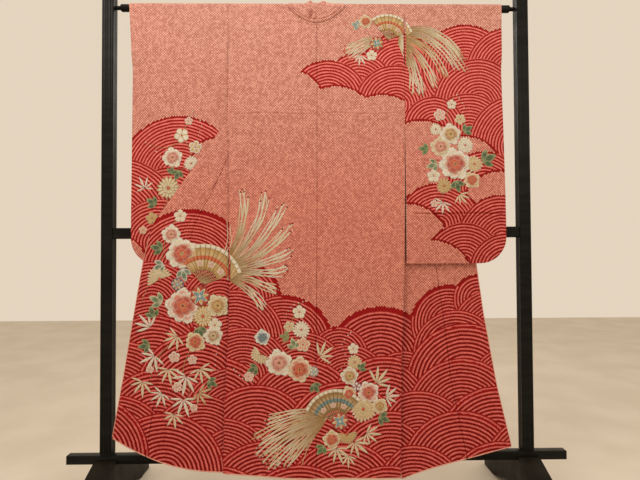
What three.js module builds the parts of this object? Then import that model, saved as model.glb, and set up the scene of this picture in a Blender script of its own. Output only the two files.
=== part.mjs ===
// A furisode hung by a rod through its sleeves on a black kimono stand, seen from its back.
// Millimetres, +Z up. The back of the garment faces -Y, and +X is on the right seen from there.
// The origin is the centre of the stand's footprint, on the floor.
import * as THREE from "three";

// Stand
const postSpacing = 1434;
const postTop = 1790;
const postSize = 40;
const midBarZ = 935;
const midBarSize = 37;
const lowBarZ = 170;
const lowBarSize = 29;
const lowBarLength = 1700;
const rodZ = 1719;
const rodRadius = 13;
const rodNeck = { radius: 7, length: 16, taper: 5 };
const foot = { width: 74, reach: 310, top: 168, flat: 22, slope: 0.4, toe: 30, pad: 90, arch: 52 };

// Cloth
const cloth = 2;
const collarCloth = 2.4;
const seamGap = 0.3;
const rest = 0.6;
const rodTurn = rodRadius + rest + cloth / 2;
const rimLean = 0.25;
const hemZ = 117;
const hemStart = 700;
const armholeEnd = 1515;
const okumiTip = 1100;
const collarEnd = 928;
const neck = { halfWidth: 98, z: 1664, shoulder: 104 };

// Straight lines between the rows of a short table, read at a height
function at(table, z) {
  let i = 1;
  while (i < table.length - 1 && z < table[i].z) {
    i += 1;
  }
  const high = table[i - 1];
  const low = table[i];
  const t = THREE.MathUtils.clamp((high.z - z) / (high.z - low.z), 0, 1);
  return THREE.MathUtils.lerp(high.v, low.v, t);
}

// A table's rows from pairs of height and value
const rows = (...pairs) => pairs.map(([z, v]) => ({ z, v }));

// How far in front of the rod's centre each layer hangs, at each height. All pass the middle bar.
const layers = {
  back: rows([rodZ, -rodTurn], [1515, -22], [1327, -33], [1100, -43], [955, -48], [600, -50], [100, -48]),
  leftInner: rows(
    [rodZ, rodTurn], [1515, 6], [1345, -29.5], [1100, -40.4], [955, -45.4], [600, -47.4], [100, -45.4],
  ),
  leftOuter: rows([1719, 19], [1515, 13], [1345, -24], [1100, -33], [955, -36], [600, -39], [100, -40]),
  rightInner: rows(
    [rodZ, rodTurn], [1515, 3], [1345, -29.5], [1100, -40.4], [955, -45.4], [600, -47.4], [100, -45.4],
  ),
  rightOuter: rows([1719, 19], [1515, 10], [1345, -7], [1100, -20], [955, -25], [600, -28], [100, -33.4]),
  leftSleeveBack: rows([rodZ, -rodTurn], [1515, -20], [1327, -20], [1100, -25], [955, -27.4], [820, -26.6]),
  leftSleeveFront: rows([rodZ, rodTurn], [1515, 6], [1327, -5], [1100, -15], [955, -22.4], [820, -24.3]),
  rightSleeveBack: rows([rodZ, -rodTurn], [1515, -22], [1327, -33], [1100, -42], [955, -46], [820, -44]),
  rightSleeveFront: rows([rodZ, rodTurn], [1515, 3], [1327, -17], [1100, -32], [955, -38], [820, -41.7]),
};

// Each side's edges, as distances from the middle: seam is the back panel's edge, edge the front's
// free edge, panel and total the cloth's own width from the side seam to the okumi seam and to that edge.
const sides = [
  {
    name: "left",
    sign: -1,
    seam: rows(
      [1719, 305], [1345, 303], [1215, 299], [1045, 296], [742, 295], [609, 298], [376, 311], [117, 317],
    ),
    edge: rows([1719, 24], [1327, 301], [965, 556], [838, 586], [744, 602], [458, 649], [117, 710]),
    panel: rows(
      [1719, 213], [1515, 228], [1327, 240], [1100, 244], [1005, 254], [760, 272], [458, 284], [117, 277],
    ),
    lift: (across) => 21 + 116 * across ** 1.9,
    inner: layers.leftInner,
    outer: layers.leftOuter,
    sleeve: { back: layers.leftSleeveBack, front: layers.leftSleeveFront },
    cuff: rows([1733, 646], [1631, 639], [1534, 634], [820, 631]),
  },
  {
    name: "right",
    sign: 1,
    seam: rows([1719, 305], [1345, 301], [857, 293], [638, 286], [504, 279], [117, 274]),
    edge: rows([1719, 24], [1327, 275], [960, 525], [825, 542], [651, 565], [414, 606], [117, 674]),
    panel: rows(
      [1719, 213], [1515, 228], [1327, 240], [1005, 256], [825, 261], [651, 262], [414, 248], [117, 240],
    ),
    lift: (across) => 100 * across ** 0.85 - 8,
    inner: layers.rightInner,
    outer: layers.rightOuter,
    sleeve: { back: layers.rightSleeveBack, front: layers.rightSleeveFront },
    cuff: rows([1733, 646], [1631, 643], [1385, 641], [820, 640]),
  },
];
const frontTotal = rows(
  [1719, 268], [1600, 285], [1500, 295], [1327, 310], [1193, 335], [1100, 362], [965, 400], [100, 400],
);
const collarTake = rows([1100, 3], [1005, 10], [928, 36], [100, 36]);
// The collar's seam stands a little further open where the fold crosses it, hidden behind the back
const collarGap = rows([1640, seamGap], [1570, 0.9], [1515, 0.9], [1400, seamGap]);
const middle = rows([1719, 2], [1385, 1], [875, -2], [607, -6], [117, -8]);

// Rows down the cloth: turns round the rod first, then heights
const turnSteps = 5;
const bodyHeights = [
  1719, 1690, 1650, 1610, 1570, 1550, 1515, 1460, 1400, 1345, 1327, 1290, 1240, 1170, 1100, 1050, 1005,
  965, 928, 880, 825, 760, 700, 640, 570, 500, 430, 360, 290, 230, 170, 117,
];

// Low ridges left by folding: where, how high and how far they reach
const creases = [
  { piece: "left_back", z: 1345, depth: 2.2, from: -303, to: -20 },
  { piece: "right_back", z: 1341, depth: 2.2, from: 0, to: 262 },
  { piece: "right_sleeve_back", z: 996, depth: 3, from: 300, to: 640 },
  { piece: "right_sleeve_back", z: 1180, depth: 2, from: 300, to: 440 },
];
const creaseWidth = 16;

function creaseDepth(piece, x, z) {
  let depth = 0;
  for (const crease of creases) {
    const inside = x > crease.from && x < crease.to;
    if (crease.piece === piece && inside) {
      depth -= crease.depth * Math.exp(-(((z - crease.z) / creaseWidth) ** 2));
    }
  }
  return depth;
}

// The lowest rows bend up to the hem's own height
function hemmed(z, lift) {
  const low = THREE.MathUtils.clamp((hemStart - z) / (hemStart - hemZ), 0, 1);
  return z + lift * low ** 1.3;
}

// Soft waves across the hem, which die out upwards
function hemWave(x, z) {
  const low = THREE.MathUtils.clamp((hemStart - z) / (hemStart - hemZ), 0, 1);
  return 2.2 * low * Math.sin(x / 46);
}

// A cloth wall from a grid of points on its middle surface: both faces and a rim round every open edge.
// keep says which cells are cloth. rims gives the cloth's direction along each row at an edge which
// meets another piece, so that both rims lean the same way.
function clothWall(grid, thickness = cloth, keep = () => true, rims = {}) {
  const last = { row: grid.length - 1, column: grid[0].length - 1 };
  const alongRow = (r, c) => {
    if (rims.first && c === 0) {
      return rims.first[r].clone();
    }
    if (rims.last && c === last.column) {
      return rims.last[r].clone();
    }
    const next = grid[r][Math.min(c + 1, last.column)];
    return new THREE.Vector3().subVectors(next, grid[r][Math.max(c - 1, 0)]);
  };
  const moved = (side) =>
    grid.map((line, r) =>
      line.map((point, c) => {
        const up = grid[Math.max(r - 1, 0)][c];
        const down = grid[Math.min(r + 1, last.row)][c];
        const normal = alongRow(r, c).cross(new THREE.Vector3().subVectors(down, up)).normalize();
        return point.clone().addScaledVector(normal, (side * thickness) / 2);
      }),
    );
  const near = moved(1);
  const far = moved(-1);
  const positions = [];
  const quad = (a, b, c, d) => {
    for (const corner of [a, b, c, a, c, d]) {
      positions.push(corner.x, corner.y, corner.z);
    }
  };
  const filled = (r, c) => r >= 0 && c >= 0 && r < last.row && c < last.column && keep(r, c);
  for (let r = 0; r < last.row; r += 1) {
    for (let c = 0; c < last.column; c += 1) {
      if (!filled(r, c)) {
        continue;
      }
      quad(near[r][c], near[r][c + 1], near[r + 1][c + 1], near[r + 1][c]);
      quad(far[r][c], far[r + 1][c], far[r + 1][c + 1], far[r][c + 1]);
      if (!filled(r - 1, c)) {
        quad(near[r][c], far[r][c], far[r][c + 1], near[r][c + 1]);
      }
      if (!filled(r + 1, c)) {
        quad(far[r + 1][c + 1], far[r + 1][c], near[r + 1][c], near[r + 1][c + 1]);
      }
      if (!filled(r, c - 1)) {
        quad(far[r + 1][c], far[r][c], near[r][c], near[r + 1][c]);
      }
      if (!filled(r, c + 1)) {
        quad(near[r][c + 1], far[r][c + 1], far[r + 1][c + 1], near[r + 1][c + 1]);
      }
    }
  }
  return facingOut(positions);
}

// A geometry whose triangles all face outwards, from positions in triples
function facingOut(positions) {
  let volume = 0;
  const corner = [new THREE.Vector3(), new THREE.Vector3(), new THREE.Vector3()];
  for (let i = 0; i < positions.length; i += 9) {
    corner.forEach((point, k) => point.fromArray(positions, i + 3 * k));
    volume += corner[0].dot(corner[1].clone().cross(corner[2]));
  }
  if (volume < 0) {
    for (let i = 0; i < positions.length; i += 9) {
      const third = positions.slice(i + 6, i + 9);
      positions.splice(i + 6, 3, ...positions.slice(i + 3, i + 6));
      positions.splice(i + 3, 3, ...third);
    }
  }
  const geometry = new THREE.BufferGeometry();
  geometry.setAttribute("position", new THREE.Float32BufferAttribute(positions, 3));
  geometry.computeVertexNormals();
  return geometry;
}

// A point on cloth that turns over the rod: face is -1 behind, 1 in front, turn runs from 0 at the top to 1
function overRod(x, face, turn) {
  const start = (seamGap / 2 + rimLean) / rodTurn;
  const angle = THREE.MathUtils.lerp(start, Math.PI / 2, turn);
  return new THREE.Vector3(x, face * rodTurn * Math.sin(angle), rodZ + rodTurn * Math.cos(angle));
}

// The height of the back's neck seam at a distance from the middle
const neckSeam = (x) => neck.z + (rodZ - neck.z) * (x / neck.halfWidth) ** 2;

// How far down the cloth the neck seam lies from the top of the rod. Past the neck it climbs over the rod.
function neckDrop(x) {
  const turn = (rodTurn * Math.PI) / 2;
  if (x <= neck.halfWidth) {
    return turn + rodZ - neckSeam(x);
  }
  return turn * Math.max(0, (neck.shoulder - x) / (neck.shoulder - neck.halfWidth));
}

// One half of the back, from the shoulder to the hem
function backPanel(side) {
  const name = `${side.name}_back`;
  const shoulder = at(side.seam, rodZ);
  const turn = (rodTurn * Math.PI) / 2;
  const yoke = turn + rodZ - 1610;
  const neckColumns = [0, 33, 66, 86, neck.halfWidth];
  for (let i = 1; i <= turnSteps; i += 1) {
    neckColumns.push(THREE.MathUtils.lerp(neck.halfWidth, neck.shoulder, i / turnSteps));
  }
  const sideColumns = 5;
  const columns = [...neckColumns];
  for (let i = 1; i <= sideColumns; i += 1) {
    columns.push(THREE.MathUtils.lerp(neck.shoulder, shoulder, i / sideColumns));
  }
  const drops = [];
  for (let step = 0; step < turnSteps; step += 1) {
    drops.push((turn * step) / turnSteps);
  }
  bodyHeights.forEach((z) => drops.push(turn + rodZ - z));
  const place = (x, drop) => {
    const start = neckDrop(x);
    const down = drop < yoke ? start + ((yoke - start) * drop) / yoke : drop;
    if (down < turn) {
      return overRod(side.sign * x, -1, down / turn);
    }
    const f = x / shoulder;
    const hemLift = side.sign < 0 ? side.lift(0) * f ** 1.5 : 0;
    const z = hemmed(rodZ - (down - turn), hemLift);
    const inner = at(middle, z) + (side.sign * seamGap) / 2;
    const across = THREE.MathUtils.lerp(inner, side.sign * at(side.seam, z), f);
    const y = at(layers.back, z) + creaseDepth(name, across, z) + hemWave(across, z);
    return new THREE.Vector3(across, y, z);
  };
  return clothWall(drops.map((drop) => columns.map((x) => place(x, drop))));
}

// Where the front folds back on itself, as a width of cloth from the side seam. Above the fold's start
// it lies past the free edge. It crosses the collar's seam at one height, and keeps clear elsewhere.
function foldWidth(side, z) {
  const total = at(frontTotal, z);
  const fold = (at(side.seam, z) + total - at(side.edge, z)) / 2;
  const edgeClear = 6;
  const seamClear = 14;
  const pastEdge = 40;
  if (fold > total - edgeClear) {
    return total + pastEdge;
  }
  const seam = at(side.panel, z);
  if (Math.abs(fold - seam) < edgeClear) {
    return seam;
  }
  return fold > seam ? Math.max(fold, seam + seamClear) : Math.min(fold, seam - seamClear);
}

// A point of the front at a width of cloth from the side seam: straight in behind the back,
// round the fold, and straight out again
function frontPoint(side, width, z) {
  const near = at(side.inner, z);
  const radius = (at(side.outer, z) - near) / 2;
  const half = (Math.PI * radius) / 2;
  const fold = foldWidth(side, z);
  const reach = at(side.seam, z);
  if (width <= fold - half) {
    return new THREE.Vector3(side.sign * (reach - width), near + hemWave(reach - width, z), z);
  }
  const turnAt = reach - (fold - half);
  if (width < fold + half) {
    const angle = (width - fold + half) / radius;
    const x = turnAt - radius * Math.sin(angle);
    return new THREE.Vector3(side.sign * x, near + radius * (1 - Math.cos(angle)) + hemWave(x, z), z);
  }
  const x = turnAt + width - fold - half;
  return new THREE.Vector3(side.sign * x, near + 2 * radius + hemWave(x, z), z);
}

// Widths across a stretch of the front, with five of them on the fold if it lies in that stretch
function frontWidths(side, from, to, z, cells) {
  const radius = (at(side.outer, z) - at(side.inner, z)) / 2;
  const half = (Math.PI * radius) / 2;
  const fold = foldWidth(side, z);
  const inside = fold - half > from + 1 && fold + half < to - 1;
  const turn = inside ? half : 2;
  const middleOfTurn = inside ? fold : THREE.MathUtils.clamp(fold, from + 2 * turn, to - 2 * turn);
  const widths = [];
  for (let i = 0; i < cells.before; i += 1) {
    widths.push(THREE.MathUtils.lerp(from, middleOfTurn - turn, i / cells.before));
  }
  for (let i = 0; i < 4; i += 1) {
    widths.push(middleOfTurn - turn + (turn * i) / 2);
  }
  for (let i = 0; i <= cells.after; i += 1) {
    widths.push(THREE.MathUtils.lerp(middleOfTurn + turn, to, i / cells.after));
  }
  return widths;
}

// The hem's height for a width of the front's cloth
function frontHeight(side, width, z) {
  const across = THREE.MathUtils.clamp((width - 14) / 386, 0, 1);
  return hemmed(z, side.lift(across));
}

// A grid over a stretch of the front between two widths, which may change with height
function frontGrid(side, heights, from, to, cells, turned) {
  const grid = [];
  if (turned) {
    for (let step = 0; step < turnSteps; step += 1) {
      const widths = frontWidths(side, from(rodZ), to(rodZ), rodZ, cells);
      grid.push(widths.map((w) => overRod(side.sign * (at(side.seam, rodZ) - w), 1, step / turnSteps)));
    }
  }
  for (const z of heights) {
    const widths = frontWidths(side, from(z), to(z), z, cells);
    grid.push(widths.map((w) => frontPoint(side, w, frontHeight(side, w, z))));
  }
  return grid;
}

// The cloth's direction across the seam at the front panel's edge, for each row of a grid
function seamRims(side, heights) {
  const reach = 1;
  const across = (z) => {
    const seam = at(side.panel, z);
    const past = frontPoint(side, seam + reach, z);
    return new THREE.Vector3().subVectors(past, frontPoint(side, seam - reach, z));
  };
  const turned = Array.from({ length: turnSteps }, () => new THREE.Vector3(-side.sign, 0, 0));
  return [...turned, ...heights.map(across)];
}

const panelEnd = (side) => (z) => at(side.panel, z);
const collarStart = (side) => (z) => at(side.panel, z) + (z > okumiTip ? 0 : at(collarTake, z));

function frontPanel(side) {
  const to = (z) => panelEnd(side)(z) - at(collarGap, z) / 2;
  const grid = frontGrid(side, bodyHeights, () => 0, to, { before: 4, after: 5 }, true);
  return clothWall(grid, cloth, () => true, { last: seamRims(side, bodyHeights) });
}

// The okumi starts as a point beside the collar and takes the whole width below the collar's end
function okumi(side) {
  const heights = bodyHeights.filter((z) => z <= okumiTip);
  const firstWide = heights.indexOf(collarEnd);
  const inner = 2;
  const outer = 4;
  const grid = heights.map((z) => {
    const from = panelEnd(side)(z) + seamGap / 2;
    const step = collarStart(side)(z) - seamGap / 2;
    const end = at(frontTotal, z);
    const widths = [];
    for (let i = 0; i < inner; i += 1) {
      widths.push(THREE.MathUtils.lerp(from, step, i / inner));
    }
    for (let i = 0; i <= outer; i += 1) {
      widths.push(THREE.MathUtils.lerp(step, end, i / outer));
    }
    return widths.map((w) => frontPoint(side, w, frontHeight(side, w, z)));
  });
  return clothWall(grid, cloth, (r, c) => c < inner || r >= firstWide);
}

function collarFront(side) {
  const heights = bodyHeights.filter((z) => z > collarEnd);
  heights.push(collarEnd + seamGap);
  const from = (z) => collarStart(side)(z) + at(collarGap, z) / 2;
  const to = (z) => at(frontTotal, z);
  const grid = frontGrid(side, heights, from, to, { before: 2, after: 3 }, true);
  return clothWall(grid, collarCloth, () => true, { first: seamRims(side, heights) });
}

// The collar behind the neck: laid on the back along the neck seam, then up over the rod, bunched into
// two low humps
function collarNeck() {
  const columns = 24;
  const levels = 6;
  const overlap = 3;
  const belly = 7;
  const onBack = (cloth + collarCloth) / 2 + seamGap;
  const humps = [
    { x: -20, height: 20, width: 26 },
    { x: 28, height: 17, width: 30 },
  ];
  const grid = [];
  for (let level = 0; level <= levels; level += 1) {
    const t = level / levels;
    const line = [];
    for (let i = 0; i <= columns; i += 1) {
      const x = THREE.MathUtils.lerp(-neck.halfWidth + 4, neck.halfWidth - 4, i / columns);
      const low = neckSeam(x) - overlap;
      let high = rodZ + rodTurn + 2;
      for (const hump of humps) {
        high += hump.height * Math.exp(-(((x - hump.x) / hump.width) ** 2));
      }
      const z = THREE.MathUtils.lerp(low, high, t);
      const round = Math.min(1, Math.max(0, z - rodZ) / (rodTurn + onBack));
      const lean = Math.max(0.1, Math.sqrt(1 - round * round));
      const y = z < rodZ ? at(layers.back, z) - onBack : -(rodTurn + onBack) * lean;
      line.push(new THREE.Vector3(x, y - belly * t * (1 - t), z));
    }
    grid.push(line);
  }
  return clothWall(grid, collarCloth);
}

// One wall of a sleeve. The walls meet along the bottom, round the corner and up to the cuff's opening.
const sleeve = { inner: 305.3, innerLow: 308, bottom: 828, corner: 90, cuffOpening: 1505 };
const sleeveHeights = [
  1719, 1670, 1610, 1560, 1505, 1440, 1370, 1300, 1230, 1180, 1120, 1060, 996, 955, 918, 890, 868, 850, 838,
  831, 828,
];

function sleeveWall(side, face) {
  const name = `${side.name}_sleeve_${face}`;
  const columns = 8;
  const opposite = face === "back" ? "front" : "back";
  const cuffEdge = (z) => {
    const edge = at(side.cuff, z);
    const drop = Math.max(0, sleeve.bottom + sleeve.corner - z);
    return edge - sleeve.corner + Math.sqrt(Math.max(0, sleeve.corner ** 2 - drop ** 2));
  };
  const grid = [];
  for (let step = 0; step < turnSteps; step += 1) {
    const line = [];
    for (let i = 0; i <= columns; i += 1) {
      const x = THREE.MathUtils.lerp(sleeve.inner, cuffEdge(1733), i / columns);
      line.push(overRod(side.sign * x, face === "back" ? -1 : 1, step / turnSteps));
    }
    grid.push(line);
  }
  for (const z of sleeveHeights) {
    const line = [];
    for (let i = 0; i <= columns; i += 1) {
      const start = z > armholeEnd ? sleeve.inner : sleeve.innerLow;
      const x = THREE.MathUtils.lerp(start, cuffEdge(z), i / columns);
      const own = at(side.sleeve[face], z);
      const centre = (own + at(side.sleeve[opposite], z)) / 2;
      const least = (cloth + seamGap) / 2;
      const pinchSide = z > sleeve.cuffOpening ? 1 : THREE.MathUtils.smoothstep(cuffEdge(z) - x, 0, 90);
      const pinchLow = THREE.MathUtils.smoothstep(z - sleeve.bottom, 0, 100);
      const half = least + (Math.abs(own - centre) - least) * pinchSide * pinchLow;
      const y = centre + Math.sign(own - centre) * half + creaseDepth(name, side.sign * x, z);
      line.push(new THREE.Vector3(side.sign * x, y, z));
    }
    grid.push(line);
  }
  return clothWall(grid);
}

// A bar with three shallow flutes on each face, along Z
function flutedBar(size, length) {
  const shape = new THREE.Shape();
  const half = size / 2;
  const corner = 4;
  const fluteDepth = 1.2;
  const fluteStops = [-0.72, -0.5, -0.28, -0.12, 0, 0.12, 0.28, 0.5, 0.72];
  const fluteLevels = [0, 1, 0, 0, 1, 0, 0, 1, 0];
  const points = [];
  for (let face = 0; face < 4; face += 1) {
    const turn = (face * Math.PI) / 2;
    const put = (u, out) => {
      const point = new THREE.Vector2(u, -half + out);
      points.push(point.rotateAround(new THREE.Vector2(), turn));
    };
    put(-half + corner, 0);
    fluteStops.forEach((stop, i) => put(stop * (half - corner), fluteLevels[i] * fluteDepth));
    put(half - corner, 0);
    const arc = new THREE.Vector2(half - corner * 0.29, -half + corner * 0.29);
    points.push(arc.rotateAround(new THREE.Vector2(), turn));
  }
  shape.setFromPoints(points);
  return new THREE.ExtrudeGeometry(shape, { depth: length, bevelEnabled: false });
}

// The rod: a round bar with a thinner neck at each end
function rodGeometry() {
  const half = postSpacing / 2 - postSize / 2 - rest;
  const shoulder = half - rodNeck.length;
  const profile = [
    [0, -half],
    [rodNeck.radius, -half],
    [rodNeck.radius, -shoulder],
    [rodRadius, -shoulder + rodNeck.taper],
    [rodRadius, shoulder - rodNeck.taper],
    [rodNeck.radius, shoulder],
    [rodNeck.radius, half],
    [0, half],
  ].map(([x, y]) => new THREE.Vector2(x, y));
  return new THREE.LatheGeometry(profile, 20);
}

// A foot: an arched block, its top sloping to both toes, with a slot that takes the lower half of the bar
function footGeometry() {
  const slot = lowBarSize / 2 + rest;
  const slotFloor = lowBarZ - lowBarSize / 2 - rest;
  const shape = new THREE.Shape();
  const run = foot.reach - foot.flat;
  const droop = foot.top - foot.toe - foot.slope * run;
  const slope = (y) => {
    const out = Math.max(0, Math.abs(y) - foot.flat);
    return foot.top - foot.slope * out - droop * (out / run) ** 2;
  };
  const outline = [[-foot.reach, 0]];
  for (let y = -foot.reach; y < -slot; y += run / 7) {
    outline.push([y, slope(y)]);
  }
  outline.push([-slot, foot.top], [-slot, slotFloor], [slot, slotFloor], [slot, foot.top]);
  for (let i = 0; i <= 7; i += 1) {
    const y = THREE.MathUtils.lerp(foot.flat, foot.reach, i / 7);
    outline.push([y, slope(y)]);
  }
  outline.push([foot.reach, 0]);
  const span = foot.reach - foot.pad;
  for (let i = 0; i <= 10; i += 1) {
    const y = THREE.MathUtils.lerp(span, -span, i / 10);
    outline.push([y, foot.arch * Math.sin((Math.PI * i) / 10)]);
  }
  shape.setFromPoints(outline.map(([y, z]) => new THREE.Vector2(y, z)));
  const depth = foot.width;
  return new THREE.ExtrudeGeometry(shape, { depth, bevelEnabled: false });
}

const paleDots = { color: 0xd9806f, roughness: 0.75, metalness: 0 };
const deepRed = { color: 0xa8242a, roughness: 0.7, metalness: 0 };
const satinBlack = { color: 0x141312, roughness: 0.35, metalness: 0.2 };

const furisode = new THREE.Group();
const stand = new THREE.Group();
const model = new THREE.Group();
model.add(furisode, stand);

function addPiece(group, name, geometry, finish) {
  const mesh = new THREE.Mesh(geometry, new THREE.MeshStandardMaterial(finish));
  mesh.name = name;
  group.add(mesh);
  return mesh;
}

for (const side of sides) {
  addPiece(furisode, `${side.name}_back`, backPanel(side), paleDots);
  addPiece(furisode, `${side.name}_front`, frontPanel(side), deepRed);
  addPiece(furisode, `${side.name}_okumi`, okumi(side), deepRed);
  addPiece(furisode, `${side.name}_collar`, collarFront(side), paleDots);
  for (const face of ["back", "front"]) {
    addPiece(furisode, `${side.name}_sleeve_${face}`, sleeveWall(side, face), paleDots);
  }
}
addPiece(furisode, "neck_collar", collarNeck(), paleDots);

const rod = addPiece(stand, "rod", rodGeometry(), satinBlack);
rod.rotation.z = Math.PI / 2;
rod.position.z = rodZ;

const midBarLength = postSpacing - postSize - 2 * rest;
const midBar = addPiece(stand, "middle_bar", flutedBar(midBarSize, midBarLength), satinBlack);
midBar.rotation.y = Math.PI / 2;
midBar.position.set(-midBarLength / 2, 0, midBarZ);

const lowBar = new THREE.BoxGeometry(lowBarLength, lowBarSize, lowBarSize);
addPiece(stand, "low_bar", lowBar, satinBlack).position.z = lowBarZ;

for (const side of sides) {
  const x = (side.sign * postSpacing) / 2;
  const postBottom = lowBarZ + lowBarSize / 2 + rest;
  const post = addPiece(stand, `${side.name}_post`, flutedBar(postSize, postTop - postBottom), satinBlack);
  post.position.set(x, 0, postBottom);
  const footPiece = addPiece(stand, `${side.name}_foot`, footGeometry(), satinBlack);
  footPiece.rotation.set(Math.PI / 2, 0, Math.PI / 2, "ZYX");
  footPiece.position.set(x - foot.width / 2, 0, 0);
}

export default model;
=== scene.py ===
from math import pi, radians

import bmesh
import bpy
import numpy as np
from mathutils import Matrix, Vector


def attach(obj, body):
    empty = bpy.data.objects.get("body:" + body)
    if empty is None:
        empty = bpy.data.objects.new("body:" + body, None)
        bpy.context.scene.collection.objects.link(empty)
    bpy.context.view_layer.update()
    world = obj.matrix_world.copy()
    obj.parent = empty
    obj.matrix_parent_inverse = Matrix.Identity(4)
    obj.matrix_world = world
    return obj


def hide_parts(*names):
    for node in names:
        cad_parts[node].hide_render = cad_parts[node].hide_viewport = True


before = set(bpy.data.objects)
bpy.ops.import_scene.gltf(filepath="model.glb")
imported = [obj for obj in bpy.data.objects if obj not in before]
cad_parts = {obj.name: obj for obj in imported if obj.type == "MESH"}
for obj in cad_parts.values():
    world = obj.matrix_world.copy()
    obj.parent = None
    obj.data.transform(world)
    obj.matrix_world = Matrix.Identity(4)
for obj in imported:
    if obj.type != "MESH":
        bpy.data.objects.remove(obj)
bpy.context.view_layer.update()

scene = bpy.context.scene

# The photograph was taken from behind the garment, a little left of its middle and at the height of
# its waist, with a wide lens. The frame takes in the whole hem and cuts the tops of the posts.
camera = bpy.data.objects.new("photo_camera", bpy.data.cameras.new("photo_camera"))
scene.collection.objects.link(camera)
camera.data.sensor_width = 36
camera.data.lens = 27.06
camera.matrix_world = (
    Matrix.Translation((-0.0158, -1.6633, 0.8723))
    @ Matrix.Rotation(radians(-0.859), 4, "Z")
    @ Matrix.Rotation(radians(1.297), 4, "X")
    @ Matrix.Rotation(radians(0.261), 4, "Y")
    @ Matrix.Rotation(pi / 2, 4, "X")
)
scene.camera = camera
scene.view_settings.view_transform = "Standard"


# The floor is plain and pale. The room is one warm colour, and soft lamps hang high in front of the
# cloth, so that its top is the brightest.
class Shade:
    """One socket of a material, so that shader maths reads as plain sums"""

    def __init__(self, tree, socket=None):
        self.tree = tree
        self.socket = socket

    def add(self, kind, settings=None, values=None, out=0):
        node = self.tree.nodes.new("ShaderNode" + kind)
        for key, value in (settings or {}).items():
            setattr(node, key, value)
        for key, value in (values or {}).items():
            if isinstance(value, Shade):
                self.tree.links.new(value.socket, node.inputs[key])
            else:
                node.inputs[key].default_value = value
        return Shade(self.tree, node.outputs[out])

    def outlet(self, number):
        """Another output of the same node"""
        return Shade(self.tree, self.socket.node.outputs[number])

    def maths(self, operation, *values):
        return self.add("Math", {"operation": operation}, dict(enumerate(values)))

    def __add__(self, other):
        return self.maths("ADD", self, other)

    def __sub__(self, other):
        return self.maths("SUBTRACT", self, other)

    def __rsub__(self, other):
        return self.maths("SUBTRACT", other, self)

    def __mul__(self, other):
        return self.maths("MULTIPLY", self, other)

    def __truediv__(self, other):
        return self.maths("DIVIDE", self, other)

    def __lt__(self, other):
        return self.maths("LESS_THAN", self, other)

    def __gt__(self, other):
        return self.maths("GREATER_THAN", self, other)

    __radd__ = __add__
    __rmul__ = __mul__

    def fade(self, low, high):
        """0 below low and 1 above high, or the other way round where low is the greater"""
        return self.add("MapRange", {"interpolation_type": "SMOOTHSTEP"}, {0: self, 1: low, 2: high})

    def pick(self, none, whole):
        """A colour between two, by this value"""
        sides = {6: none, 7: whole}
        sides = {k: v if isinstance(v, Shade) else (*v, 1) for k, v in sides.items()}
        return self.add("Mix", {"data_type": "RGBA"}, {0: self, **sides}, out=2)

    def between(self, none, whole):
        """A number between two, by this value"""
        return self.add("Mix", {"data_type": "FLOAT"}, {0: self, 2: none, 3: whole}, out=0)


def material(name, roughness, **fixed):
    """A new material: its shader, a start for its sums, and a way to link a socket"""
    made = bpy.data.materials.new(name)
    made.use_nodes = True
    shader = made.node_tree.nodes["Principled BSDF"]
    shader.inputs["Roughness"].default_value = roughness
    for key, value in fixed.items():
        shader.inputs[key.replace("_", " ")].default_value = value

    def feed(key, value):
        made.node_tree.links.new(value.socket, shader.inputs[key])

    return made, Shade(made.node_tree), feed


def place(shade):
    return shade.add("TexCoord", out=3)


def cloudy(shade, scale, detail=2.0, where=None):
    """Soft noise round 0.5"""
    return shade.add("TexNoise", None, {"Vector": where or place(shade), "Scale": scale, "Detail": detail})


def bumped(shade, height, distance, strength=1.0):
    return shade.add("Bump", None, {"Height": height, "Distance": distance, "Strength": strength})


floor_paint, shade, feed = material("floor_paint", 0.8)
feed("Base Color", cloudy(shade, 3.0).fade(0.3, 0.7).pick((0.62, 0.55, 0.46), (0.68, 0.61, 0.52)))
feed("Normal", bumped(shade, cloudy(shade, 60.0), 0.0006))
bpy.ops.mesh.primitive_plane_add(size=9)
floor = bpy.context.object
floor.name = "floor"
floor.data.materials.append(floor_paint)

scene.world = bpy.data.worlds.new("pale_room")
scene.world.use_nodes = True
room = scene.world.node_tree.nodes["Background"]
room.inputs["Color"].default_value = (0.78, 0.66, 0.52, 1)
room.inputs["Strength"].default_value = 1.0


def soft_lamp(name, place, aim, size, power, colour):
    lamp = bpy.data.objects.new(name, bpy.data.lights.new(name, "AREA"))
    scene.collection.objects.link(lamp)
    lamp.data.size = size
    lamp.data.energy = power
    lamp.data.color = colour
    lamp.location = place
    lamp.rotation_euler = (Vector(aim) - Vector(place)).to_track_quat("-Z", "Y").to_euler()


soft_lamp("key_lamp", (-0.9, -1.5, 3.0), (0, 0, 1.3), 1.0, 30, (1.0, 0.95, 0.87))
soft_lamp("side_lamp", (1.9, -2.2, 2.4), (0, 0, 1.0), 1.0, 12, (1.0, 0.95, 0.88))
soft_lamp("far_lamp", (0.6, 2.2, 2.6), (0, 0, 1.0), 1.4, 18, (1.0, 0.96, 0.9))


# The stand is satin black: two arched feet, a bar across them, two fluted posts with a fluted bar
# between them, and a round rod in the posts' sockets. The edges are eased, and the feet are duller.
def stand_paint(name, tone, roughness):
    made, shade, feed = material(name, roughness, Specular_IOR_Level=0.1)
    where = place(shade)
    grain = cloudy(shade, 9.0, 6.0, shade.add("Mapping", None, {"Vector": where, "Scale": (1, 1, 6)}))
    dust = cloudy(shade, 45.0, 4.0)
    feed("Base Color", grain.fade(0.35, 0.7).pick(tone, tuple(1.7 * c for c in tone)))
    feed("Roughness", dust * 0.22 + (roughness - 0.1))
    feed("Normal", bumped(shade, grain + dust * 0.4, 0.0004, 0.6))
    return made


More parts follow.
